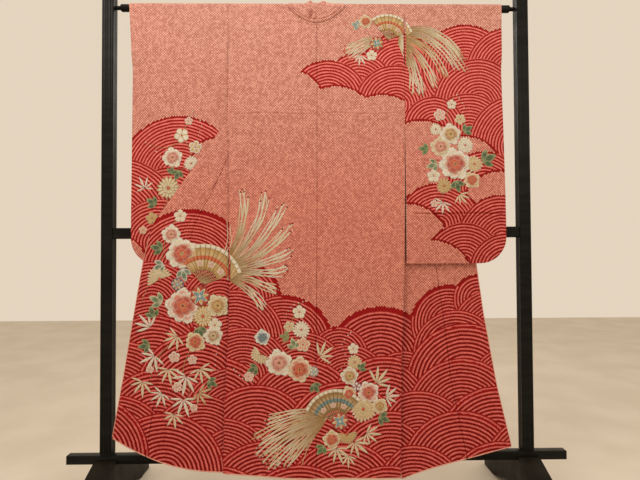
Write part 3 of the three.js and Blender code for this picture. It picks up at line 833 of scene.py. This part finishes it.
# Fans, balls, streamers, flowers and leaves are embroidered over the waves in raised silk and gold
# thread. The stitches lie side by side along each petal, and each cloth piece carries its own.
white, cream, sand = (0.80, 0.76, 0.66), (0.76, 0.66, 0.46), (0.58, 0.44, 0.24)
gold, old_gold, olive = (0.60, 0.38, 0.13), (0.36, 0.20, 0.06), (0.20, 0.18, 0.05)
flame, crimson, blush = (0.62, 0.09, 0.03), (0.30, 0.006, 0.006), (0.74, 0.32, 0.24)
teal, sky, plum, brown = (0.05, 0.22, 0.28), (0.34, 0.50, 0.56), (0.334, 0.131, 0.212), (0.10, 0.035, 0.01)
leaf_green, dark_green, pale_green = (0.03, 0.13, 0.035), (0.010, 0.05, 0.016), (0.38, 0.42, 0.20)
rooted = -0.4


def between(a, b, t):
    return tuple(p + (q - p) * t for p, q in zip(a, b))


def aside(path):
    """The way across a flat path at each of its points"""
    along = np.gradient(path, axis=0)
    along /= np.linalg.norm(along, axis=1, keepdims=True)
    return np.stack([-along[:, 1], along[:, 0]], -1)


class Stitching:
    """The raised stitches on one piece of cloth, gathered into one mesh. face gives where the middle of
    the cloth hangs, and low and high where its seams run."""

    def __init__(self, face, low, high):
        self.face, self.low, self.high = face, low, high
        self.points, self.colours, self.runs, self.faces = [], [], [], []
        self.count = 0
        self.base = self.under = 0.0

    def add(self, flat, raised, colours, run, faces):
        """flat are places on the cloth, raised how far above it, run where a point lies across the threads"""
        x, z = flat[:, 0], flat[:, 1]
        y = self.face(x, z) - cloth / 2 - raised
        self.points.append(np.stack([x, y, z], -1))
        self.colours.append(np.array(colours))
        self.runs.append(run)
        self.faces += [[self.count + i for i in face] for face in faces]
        self.count += len(flat)

    def pad(self, outline, edge, heart, angle, lift=1.0, filled=0.0):
        """A raised patch of stitches, edge to heart, with its threads at an angle. It is held between the
        seams beside this cloth, and left out where it lies past them."""
        low, high = self.low(outline[:, 1]), self.high(outline[:, 1])
        if ((outline[:, 0] > low + 1) & (outline[:, 0] < high - 1)).sum() < 2:
            return
        outline = np.stack([np.clip(outline[:, 0], low, high), outline[:, 1]], -1)
        n, base, heart_place = len(outline), self.base + self.under, outline.mean(0)
        rings = [heart_place + (outline - heart_place) * size for size in (0.93, 0.72, 0.5)]
        flat = np.concatenate([outline, *rings, [heart_place, heart_place]])
        raised = np.append(
            np.repeat([rooted, base + lift * 0.5, base + lift * 0.9, base + lift], n),
            [base + lift * 1.05, rooted],
        )
        shades = [between(edge, brown, 0.8)] * n + [between(edge, brown, 0.22)] * n
        shades += [between(edge, heart, filled)] * n + [between(edge, heart, 0.85)] * n + [heart] * 2
        run = flat[:, 1] * np.cos(angle) - flat[:, 0] * np.sin(angle)
        faces = []
        for i in range(n):
            j = (i + 1) % n
            faces += [[k * n + i, k * n + j, k * n + n + j, k * n + n + i] for k in range(3)]
            faces += [[3 * n + i, 3 * n + j, 4 * n], [j, i, 4 * n + 1]]
        self.add(flat, raised, shades, run, faces)

    def band(self, path, width, edge, heart, lift, root=None):
        """A ribbon or stem along a path, of another colour at its root if one is given"""
        path = np.array(path, float)
        low, high = self.low(path[:, 1]), self.high(path[:, 1])
        spots = np.flatnonzero((path[:, 0] > low + 0.5) & (path[:, 0] < high - 0.5))
        if len(spots) < 2:
            return
        keep = slice(max(spots[0] - 1, 0), min(spots[-1] + 2, len(path)))
        width, beside = np.broadcast_to(width, len(path))[keep], aside(path)[keep]
        path = path[keep]
        m = len(path)
        offsets, heights = (0.5, 0.42, 0.0, -0.42, -0.5), (rooted, 0.6, 1.0, 0.6, rooted)
        flat = np.stack([path + beside * (o * width)[:, None] for o in offsets], 1).reshape(-1, 2)
        flat[:, 0] = np.clip(flat[:, 0], self.low(flat[:, 1]), self.high(flat[:, 1]))
        raised = np.tile([h if h < 0 else self.base + self.under + lift * h for h in heights], m)
        shades = [edge, edge, heart, edge, edge] * m
        if root:
            blend = np.repeat(np.clip(np.linspace(-0.1, 1.6, m), 0, 1), 5)
            shades = [between(root, shade, t) for shade, t in zip(shades, blend)]
        run = np.stack([o * width for o in offsets], 1).ravel()
        faces = [[0, 1, 2, 3, 4], [5 * m - 1, 5 * m - 2, 5 * m - 3, 5 * m - 4, 5 * m - 5]]
        for a in range(0, 5 * m - 5, 5):
            b = a + 5
            faces += [[a + k + 1, a + k, b + k, b + k + 1] for k in range(4)] + [[a, a + 4, b + 4, b]]
        self.add(flat, raised, shades, run, faces)

    def finish(self, name):
        mesh = bpy.data.meshes.new(name)
        mesh.from_pydata((np.concatenate(self.points) / 1000).tolist(), [], self.faces)
        shades = np.insert(np.concatenate(self.colours), 3, 1, axis=1)
        layer = mesh.color_attributes.new("thread_shade", "FLOAT_COLOR", "POINT")
        layer.data.foreach_set("color", shades.ravel())
        across = mesh.attributes.new("thread_run", "FLOAT", "POINT")
        across.data.foreach_set("value", np.concatenate(self.runs))
        mesh.shade_smooth()
        mesh.materials.append(silk_thread)
        return set_piece(name, mesh)


silk_thread, shade, feed = material("silk_thread", 0.42, Sheen_Weight=0.15, Specular_IOR_Level=0.4)
thread_width = 0.9
shades = shade.add("Attribute", {"attribute_name": "thread_shade"})
run = shade.add("Attribute", {"attribute_name": "thread_run"}, out=2)
strand = run.maths("SINE", run * (2 * pi / thread_width))
fleck = cloudy(shade, 340.0, 2.0)
tone = fleck.fade(0.35, 0.65) * 0.24 + 0.82
feed("Base Color", shade.add("VectorMath", {"operation": "SCALE"}, {0: shades, 3: tone}))
feed("Normal", bumped(shade, strand * 0.5 + fleck * 0.5, 0.0005, 0.7))


def reach(x, z, angle, far):
    """The place that lies so far from another, at an angle"""
    return x + far * np.cos(angle), z + far * np.sin(angle)


def turns(count, start=0.0):
    return [start + k * 2 * pi / count for k in range(count)]


def petal(x, z, angle, length, width, fullness, point):
    """An outline that starts at a place and runs out at an angle, widest past its middle"""
    s = np.linspace(0, 1, 7)
    half = width / 2 * np.sin(pi * s**fullness) ** point
    u = np.concatenate([s, s[-2:0:-1]]) * length
    v = np.concatenate([-half, half[-2:0:-1]])
    c, d = np.cos(angle), np.sin(angle)
    return np.stack([x + u * c - v * d, z + u * d + v * c], -1)


def round_spot(x, z, r, n=8):
    return np.stack(reach(x, z, np.array(turns(n)), r), -1)


def spot(on, x, z, r, colour, lift=1.4):
    on.pad(round_spot(x, z, r), colour, colour, 0.8, lift)


def small_flower(on, x, z, r, edge, heart, turn=0.3):
    """Five round petals, a ring of stamens and an eye"""
    for k, a in enumerate(turns(5, turn)):
        on.base = 0.15 * (k % 2)
        on.pad(petal(x, z, a, r, 0.828 * r, 1.7, 0.55), edge, heart, a)
    on.base = 0.9
    for a in turns(5, turn + pi / 5):
        spot(on, *reach(x, z, a, 0.32 * r), max(1.1, r * 0.07), gold, 0.6)
    spot(on, x, z, r * 0.13, flame, 0.8)
    on.base = 0


def full_flower(on, x, z, r, outer, heart, inner, turn):
    """A peony: four rounds of ruffled petals with pale rims, the inner ones deep, and gold stamens"""
    rounds = (
        (1.0, 9, outer, heart, 0.1), (0.82, 8, between(outer, heart, 0.15), between(heart, inner, 0.6), 0.2),
        (0.60, 6, between(outer, inner, 0.55), between(inner, crimson, 0.5), 0.55),
        (0.36, 5, between(outer, inner, 0.7), inner, 0.6),
    )
    for k, (size, petals, edge, deep, filled) in enumerate(rounds):
        for i, a in enumerate(turns(petals, turn + 0.4 * k)):
            on.base = 0.8 * k + 0.25 * (i % 2)
            long = r * size * (1 + 0.09 * np.sin(3.7 * i + turn + k))
            start = 0.12 * long
            shape = petal(*reach(x, z, a, start), a, long - start, long * 5.9 / petals, 1.9, 0.5)
            on.pad(shape, edge, deep, a, 1.0, filled)
            for lobe in (a - 0.85 / petals, a + 0.85 / petals) if k < 2 else ():
                on.pad(round_spot(*reach(x, z, lobe, 0.86 * long), long * 0.15, 7), edge, edge, a, 0.9)
    on.base = 3.2
    for a in turns(6, turn):
        spot(on, *reach(x, z, a, 0.12 * r), r * 0.045, gold, 0.6)
    on.base = 0


def many_petals(on, x, z, r, edge, heart, count, start=0.0, spread=2 * pi):
    """A chrysanthemum, whole or half open"""
    for size, lift, share in ((1.0, 0.0, 1.0), (0.58, 0.6, 0.6)):
        n = round(count * share)
        for i in range(n):
            a = start + (i + 0.5) * spread / n
            on.base = lift + 0.15 * (i % 2)
            long = r * size * (1 + 0.05 * np.sin(5 * i))
            on.pad(petal(x, z, a, long, long * spread / n * 0.70, 2.2, 0.6), edge, heart, a)
    on.base = 1.2
    spot(on, x, z, r * 0.13, flame)
    on.base = 0


def leaves(on, x, z, angle, size, edge=pale_green, heart=dark_green):
    """Three leaves on one stalk, each with a raised vein"""
    for k in (-1, 0, 1):
        a, long = angle + 0.75 * k, size * (0.8 if k else 1)
        on.pad(petal(x, z, a, long, long * 0.46, 1.1, 0.9), edge, heart, a, 1.0, 0.4)
        on.base = 0.8
        on.band([reach(x, z, a, far * long) for far in np.linspace(0.08, 0.85, 5)], 1.0, edge, edge, 0.35)
        on.base = 0


def blades(on, x, z, angle, size, colour=white, count=5, spread=2.3):
    """A spray of narrow pointed leaves"""
    for k in range(count):
        off = k - (count - 1) / 2
        a = angle + off * spread / (count - 1)
        long = size * (1 - 0.12 * abs(off) + 0.08 * np.sin(5 * k))
        on.pad(petal(x, z, a, long, long * 0.17, 1.0, 1.0), colour, between(colour, sand, 0.45), a)


def curve(*marks, n=26):
    """A smooth line through a few places"""
    marks = np.array(marks, float)
    t = np.linspace(0, len(marks) - 1, n)
    i = np.clip(t.astype(int), 0, len(marks) - 2)
    f = (t - i)[:, None]
    back, ahead = marks[np.maximum(i - 1, 0)], marks[np.minimum(i + 2, len(marks) - 1)]
    a, b = marks[i], marks[i + 1]
    bend, twist = 2 * back - 5 * a + 4 * b - ahead, 3 * a - back - 3 * b + ahead
    return 0.5 * (2 * a + (b - back) * f + bend * f**2 + twist * f**3)


def stem(on, *marks, colour=olive, width=2.4):
    path = curve(*marks)
    on.band(path, np.linspace(width, width * 0.5, len(path)), colour, between(colour, sand, 0.3), 0.5)


def seeds(on, count, *marks):
    """A line of small white knots"""
    for k, (x, z) in enumerate(curve(*marks, n=count)):
        spot(on, x, z, 2.4 * (1 - 0.06 * k), white, 1.0)


def tassel(on, marks, width, tones, tip=crimson):
    """Seven silk threads that leave a knot together, part, and end at uneven lengths in small knots"""
    path = curve(*marks)
    t = np.linspace(0, 1, len(path))
    for k in range(7):
        off = (k - 3) / 6
        wave = 0.16 * np.sin(2.2 * k + marks[-1][0] + 7 * t)
        part = path + aside(path) * (width * (off + wave) * (0.25 + 1.05 * t**0.8))[:, None]
        stop = len(path) - int(abs(3 * np.sin(2.9 * k + marks[-1][1])) + 4 * abs(off))
        tone = tones[k % len(tones)]
        on.base = 0.25 * (k % 2)
        size = np.linspace(1.0, 0.6, stop) * width * 0.22
        on.band(part[:stop], size, between(tone, sand, 0.6), tone, 0.7, old_gold)
        if k % 2 == 0:
            on.base = 0.6
            spot(on, *part[stop - 1], width * 0.15, tip, 0.6)
    on.base = 0


def streamers(on, width, tip, *bunches):
    """Tassels from one knot. A bunch is its main tone and the places that it runs through."""
    for tone, *marks in bunches:
        tassel(on, marks, width, (tone, cream, white), tip)


def fringe(on, x, z, angles, short, more, beat, bend, colour, width):
    """Short threads that spray from a knot at several angles, each a little bent"""
    for k, a in enumerate(angles):
        far = short + more * np.sin(beat * k) ** 2
        stem(on, (x, z), reach(x, z, a, 0.6 * far), reach(x, z, a + bend, far), colour=colour, width=width)


def open_fan(on, x, z, angle, r, spread, folds, leaf=gold, inlay=flame):
    """A folding fan: gold leaves from a third of its reach, a pale rim, an inlaid band and sticks"""
    def part(low, high):
        turn = np.linspace(a, b, 3)
        return np.concatenate([reach(x, z, turn, high * r), reach(x, z, turn[::-1], low * r)], 1).T

    for k in range(folds):
        a = angle - spread / 2 + k * spread / folds
        b = a + spread / folds
        fold = (a + b) / 2
        light = leaf if k % 2 else between(leaf, old_gold, 0.5)
        on.band([reach(x, z, fold, far) for far in np.linspace(0, 0.4 * r, 4)], 2.2, old_gold, sand, 0.6)
        on.pad(part(0.36, 0.92), light, between(light, cream, 0.35), fold, 0.8)
        on.pad(part(0.90, 1), cream, white, fold, 1.2)
        on.base = 0.8
        on.pad(part(0.62, 0.72), inlay, between(inlay, gold, 0.4), fold, 0.5)
        on.base = 0
    on.under += 0.7
    for k in (2, 6, 10):
        a = angle - spread / 2 + (k + 0.5) * spread / folds
        small_flower(on, *reach(x, z, a, 0.53 * r), r * 0.09, white, blush, a)
    on.under -= 0.7
    spot(on, x, z, r * 0.05, crimson)


def ball(on, x, z, r, ground=flame, first=teal, second=cream, turn=0.2):
    """A thread ball: a round ground with two crossed sets of pointed stitches"""
    on.pad(round_spot(x, z, r, 22), between(ground, crimson, 0.4), ground, 0.6, 1.4)
    on.base = 1.4
    for k, a in enumerate(turns(8, turn)):
        on.pad(petal(x, z, a, r * 0.94, r * 0.34, 1.3, 0.9), second, first if k % 2 else gold, a, 0.6)
    on.base = 1.9
    for a in turns(8, turn + pi / 8):
        on.pad(petal(x, z, a, r * 0.5, r * 0.17, 1.3, 0.9), sky, teal, a, 0.5)
    spot(on, x, z, r * 0.12, white, 0.8)
    on.base = 0


def sew(on, motif, *rows):
    """One motif at several places. A row holds what the motif takes."""
    for row in rows:
        motif(on, *row)


def front_out(side, x, z):
    """The front's middle where it has come out from behind the back. x is from the middle."""
    turned = pi * (side.outer(z) - side.inner(z)) / 4
    return front_face(side, x - side.seam(z) - turned + 2 * fold_at(side, z), z)[..., 1]


on_back = Stitching(
    lambda x, z: np.where(x < 0, back_face(left, x, z), back_face(right, x, z)),
    lambda z: 3 - left.seam(z), lambda z: right.seam(z) - 3,
)
on_left_front = Stitching(
    lambda x, z: front_out(left, -x, z), lambda z: 4 - left.edge(z), lambda z: -left.seam(z) - 4,
)
on_left_sleeve = Stitching(
    lambda x, z: wall_face(left, -1, -x, z), lambda z: 4 - cuff_edge(left, z), lambda z: -309 + 0 * z,
)
on_right_sleeve = Stitching(
    lambda x, z: wall_face(right, -1, x, z), lambda z: 309 + 0 * z, lambda z: cuff_edge(right, z) - 4,
)

# Left sleeve: a loose trail of small flowers down the waves
on = on_left_sleeve
stem(on, (-430, 1345), (-455, 1270), (-430, 1200), (-480, 1120), (-520, 1020), (-560, 930))
stem(on, (-455, 1250), (-520, 1225), (-570, 1240))
sew(on, seeds, (6, (-425, 1350), (-395, 1310), (-405, 1270)), (6, (-585, 1245), (-540, 1205), (-515, 1170)))
sew(
    on, small_flower,
    (-438, 1318, 15, white, blush), (-462, 1268, 27, cream, white, 0.8), (-415, 1228, 24, white, gold, 0.1),
    (-560, 985, 22, sand, gold, 0.5), (-590, 945, 15, cream, blush, 0.2),
)
full_flower(on, -492, 1192, 34, white, cream, blush, 0.4)
sew(on, many_petals, (-428, 1172, 27, white, cream, 16), (-505, 1088, 42, sand, cream, 16))
sew(on, leaves, (-470, 1150, -1.9, 40), (-500, 1135, 1.2, 30), (-545, 1030, 2.6, 42))
blades(on, -585, 1088, 1.7, 46, white, 6, 3.6)

# Left front and the back beside it: a great gold fan with streamers that fly off to the right,
# a thread ball, and full flowers round them
for on in (on_left_front, on_back):
    streamers(
        on, 24, crimson,
        (white, (-300, 830), (-235, 905), (-190, 990), (-178, 1075)),
        (white, (-300, 820), (-215, 880), (-150, 960), (-110, 1040)),
        (cream, (-300, 812), (-210, 850), (-140, 900), (-85, 965)),
        (white, (-300, 805), (-205, 825), (-135, 850), (-70, 885)),
        (white, (-300, 798), (-215, 800), (-150, 800), (-95, 815)),
        (cream, (-300, 790), (-225, 775), (-170, 755), (-125, 735)),
        (cream, (-305, 840), (-262, 930), (-245, 1010), (-248, 1085)),
        (white, (-305, 785), (-245, 755), (-205, 715), (-180, 670)),
    )
    fringe(on, -330, 812, -0.35 + 0.11 * np.arange(16), 120, 45, 2.4, 0.12, cream, 4.5)
    on.under = 1.3
    open_fan(on, -385, 760, 1.30, 138, 2.0, 15)
    ball(on, -395, 722, 34)
    full_flower(on, -335, 690, 38, cream, sand, gold, 0.7)
    on.under = 0
on = on_left_front
stem(on, (-470, 985), (-510, 930), (-520, 860), (-560, 780), (-590, 700))
sew(on, small_flower, (-462, 992, 23, white, cream), (-345, 625, 26, white, cream))
sew(
    on, full_flower,
    (-492, 930, 32, white, cream, blush, 0.1), (-455, 865, 54, white, cream, flame, 0.5),
    (-452, 690, 58, white, blush, flame, 0.2), (-350, 590, 32, white, cream, sand, 0.3),
    (-410, 570, 34, cream, gold, flame, 0.8),
)
sew(on, many_petals, (-530, 780, 46, cream, sand, 14, 0.3, 3.4), (-385, 655, 38, gold, cream, 18))
ball(on, -470, 762, 22, teal, flame, cream, 0.5)
sew(
    on, leaves, (-520, 880, 2.9, 46), (-515, 830, 3.6, 46, white, leaf_green),
    (-455, 815, -1.3, 48, white, leaf_green), (-520, 700, 2.7, 52, cream, leaf_green),
    (-400, 620, -1.2, 44), (-548, 650, 1.9, 44),
)
sew(on, blades, (-560, 620, 2.3, 62, white, 5), (-470, 590, 3.8, 58, cream, 6, 3.0))
seeds(on, 8, (-330, 560), (-345, 500), (-320, 450))

# Lower left: sprays of narrow leaves with a few small flowers
stem(on, (-420, 560), (-450, 480), (-430, 400), (-480, 330))
stem(on, (-500, 560), (-545, 500), (-560, 440))
for x, z, angle, size, tone in (
    (-545, 525, 3.9, 66, white), (-500, 480, 4.6, 58, cream), (-440, 455, 4.2, 70, white),
    (-395, 480, 5.2, 60, cream), (-585, 440, 4.4, 58, cream), (-450, 380, 4.7, 66, white),
    (-400, 400, 5.6, 56, sand), (-520, 400, 4.0, 52, white), (-480, 330, 4.5, 52, cream),
):
    blades(on, x, z, angle, size, tone, 6, 3.2)
for x, z, r in ((-480, 520, 20), (-420, 510, 17), (-560, 480, 14), (-470, 420, 18), (-415, 350, 14)):
    small_flower(on, x, z, r, white, blush, x / 50)
sew(on, leaves, (-560, 560, 3.3, 44), (-370, 440, 5.8, 40))

# Lower back: a second fan low in the middle, its streamers flying down to the left, and flowers
# that climb towards both seams
on = on_back
streamers(
    on, 24, crimson,
    (cream, (20, 320), (-70, 290), (-150, 250), (-225, 190)),
    (sand, (20, 312), (-70, 270), (-140, 220), (-200, 165)),
    (cream, (20, 305), (-55, 255), (-120, 195), (-165, 145)),
    (sand, (15, 300), (-45, 235), (-90, 185), (-120, 150)),
    (gold, (20, 328), (-60, 318), (-145, 285), (-235, 235)),
    (cream, (20, 334), (-50, 340), (-120, 325), (-190, 300)),
)
fringe(on, 30, 318, pi + 0.05 + 0.085 * np.arange(12), 130, 60, 1.9, 0.08, sand, 4)
on.under = 1.3
open_fan(on, 60, 300, 1.75, 112, 2.0, 13, old_gold, teal)
ball(on, 72, 305, 30)
on.under = 0
stem(on, (-60, 700), (-85, 640), (-70, 580), (-110, 520), (-160, 470))
sew(
    on, seeds, (8, (-40, 705), (-85, 690), (-110, 650)), (10, (110, 600), (80, 560), (95, 510), (70, 470)),
    (7, (-280, 480), (-250, 450), (-215, 440)),
)
sew(
    on, small_flower, (-62, 668, 24, white, cream), (-95, 620, 20, cream, sand, 0.7),
    (-50, 560, 26, cream, blush, 0.2), (-230, 455, 18, white, blush), (118, 545, 20, white, cream, 0.4),
    (128, 420, 17, plum, white),
)
sew(
    on, full_flower,
    (-185, 585, 26, white, sky, teal, 0.3), (-130, 500, 44, white, cream, blush, 0.4),
    (-62, 478, 42, cream, blush, flame, 0.1), (105, 455, 30, white, sand, gold, 0.2),
    (168, 400, 36, white, blush, flame, 0.6), (102, 395, 26, cream, gold, flame, 0.5),
    (205, 355, 26, cream, sand, gold, 0.9), (45, 245, 30, cream, gold, flame, 0.2),
)
sew(
    on, many_petals, (-55, 610, 30, white, cream, 16), (-190, 530, 36, cream, sand, 12, 2.2, 3.6),
    (122, 500, 26, cream, gold, 14), (150, 345, 46, cream, gold, 20), (95, 262, 36, sand, gold, 16, 3.0, 3.6),
)
ball(on, -15, 470, 18, sky, white, cream, 0.1)
sew(
    on, leaves, (-95, 585, 3.0, 36, pale_green, olive), (-200, 485, 3.5, 40),
    (-75, 545, 1.9, 42, cream, leaf_green), (-20, 430, -0.9, 40), (135, 475, 0.8, 36), (200, 320, -0.4, 44),
    (20, 225, 4.0, 40, pale_green, leaf_green),
)
sew(on, blades, (5, 520, 0.6, 62, cream, 5), (195, 430, 0.9, 66, cream, 5), (225, 385, 0.1, 54, white, 5))
for x, z, angle, size in ((60, 215, 4.8, 58), (120, 235, 5.3, 62), (160, 265, 5.9, 54), (100, 190, 4.4, 44)):
    blades(on, x, z, angle, size, cream, 6, 3.0)

# Right shoulder: a small fan and ball, with long streamers that fall over the sleeve
for on in (on_back, on_right_sleeve):
    streamers(
        on, 22, flame,
        (cream, (285, 1630), (370, 1640), (450, 1600), (520, 1520)),
        (white, (285, 1620), (360, 1615), (430, 1570), (490, 1490)),
        (gold, (285, 1612), (350, 1590), (410, 1535), (450, 1450)),
        (cream, (285, 1605), (340, 1560), (385, 1495), (415, 1420)),
        (white, (285, 1600), (325, 1540), (350, 1460), (365, 1385)),
        (sand, (285, 1625), (375, 1628), (455, 1580), (535, 1470)),
        (cream, (285, 1595), (315, 1530), (330, 1470), (330, 1405)),
    )
    fringe(on, 285, 1610, 0.35 - 0.14 * np.arange(13), 105, 50, 1.7, -0.15, gold, 5)
    on.under = 1.3
    open_fan(on, 245, 1600, 1.25, 92, 1.9, 11)
    on.under = 0
on = on_back
ball(on, 208, 1588, 25, flame, leaf_green, cream)
tassel(on, ((225, 1590), (180, 1600), (130, 1580), (85, 1560)), 24, (cream, sand, white), flame)
tassel(on, ((225, 1582), (180, 1580), (140, 1558), (110, 1530)), 20, (white, cream), flame)
blades(on, 150, 1545, 4.6, 42)
small_flower(on, 190, 1545, 20, white, cream)
full_flower(on, 170, 1665, 24, cream, gold, flame, 0.3)
leaves(on, 150, 1650, 2.9, 34, cream, teal)

# Right sleeve: a hanging bunch of flowers below the streamers
on = on_right_sleeve
stem(on, (470, 1400), (445, 1330), (490, 1260), (460, 1180), (430, 1080), (410, 1010))
seeds(on, 7, (480, 1405), (505, 1360), (480, 1320))
sew(
    on, small_flower, (462, 1372, 18, white, cream), (420, 1335, 22, white, blush, 0.5),
    (490, 1320, 20, cream, sand, 0.9), (395, 1125, 24, white, cream), (395, 1030, 14, white, blush),
)
sew(
    on, full_flower, (455, 1268, 36, white, cream, gold, 0.3), (420, 1225, 34, cream, sand, blush, 0.1),
    (468, 1165, 54, white, cream, flame, 0.4), (525, 1110, 28, cream, gold, flame, 0.6),
)
sew(
    on, many_petals, (405, 1285, 22, cream, white, 14), (505, 1230, 30, white, cream, 16),
    (535, 1165, 30, cream, gold, 14), (430, 1090, 28, sand, gold, 14),
)
sew(
    on, leaves, (500, 1275, 0.6, 40), (380, 1215, 3.0, 38, pale_green, leaf_green),
    (410, 1165, 3.4, 44, cream, leaf_green), (560, 1175, 0.4, 58), (470, 1110, -1.3, 46),
)
sew(on, blades, (425, 1035, 4.3, 48, white, 6, 3.2), (480, 1060, 5.4, 44, cream, 5))

stitched = {
    "left_back": on_back.finish("back_embroidery"),
    "left_front": on_left_front.finish("left_front_embroidery"),
    "left_sleeve_back": on_left_sleeve.finish("left_sleeve_embroidery"),
    "right_sleeve_back": on_right_sleeve.finish("right_sleeve_embroidery"),
}

# Each sheet's own cut, as the piece that shows here
cuts = {
    "back": ((0.305, 1.64), None), "front": ((0.284, 1.63), 0.42), "okumi": ((0.155, 0.98), 0.105),
    "collar": ((0.100, 0.83), None), "neck_collar": ((0.19, 0.075), None), "sleeve": ((0.345, 0.92), None),
}
for name, piece in sheets.items():
    size, area = cuts.get(name) or cuts[name.split("_")[1]]
    on_it = lips[name] + ([stitched[name]] if name in stitched else [])
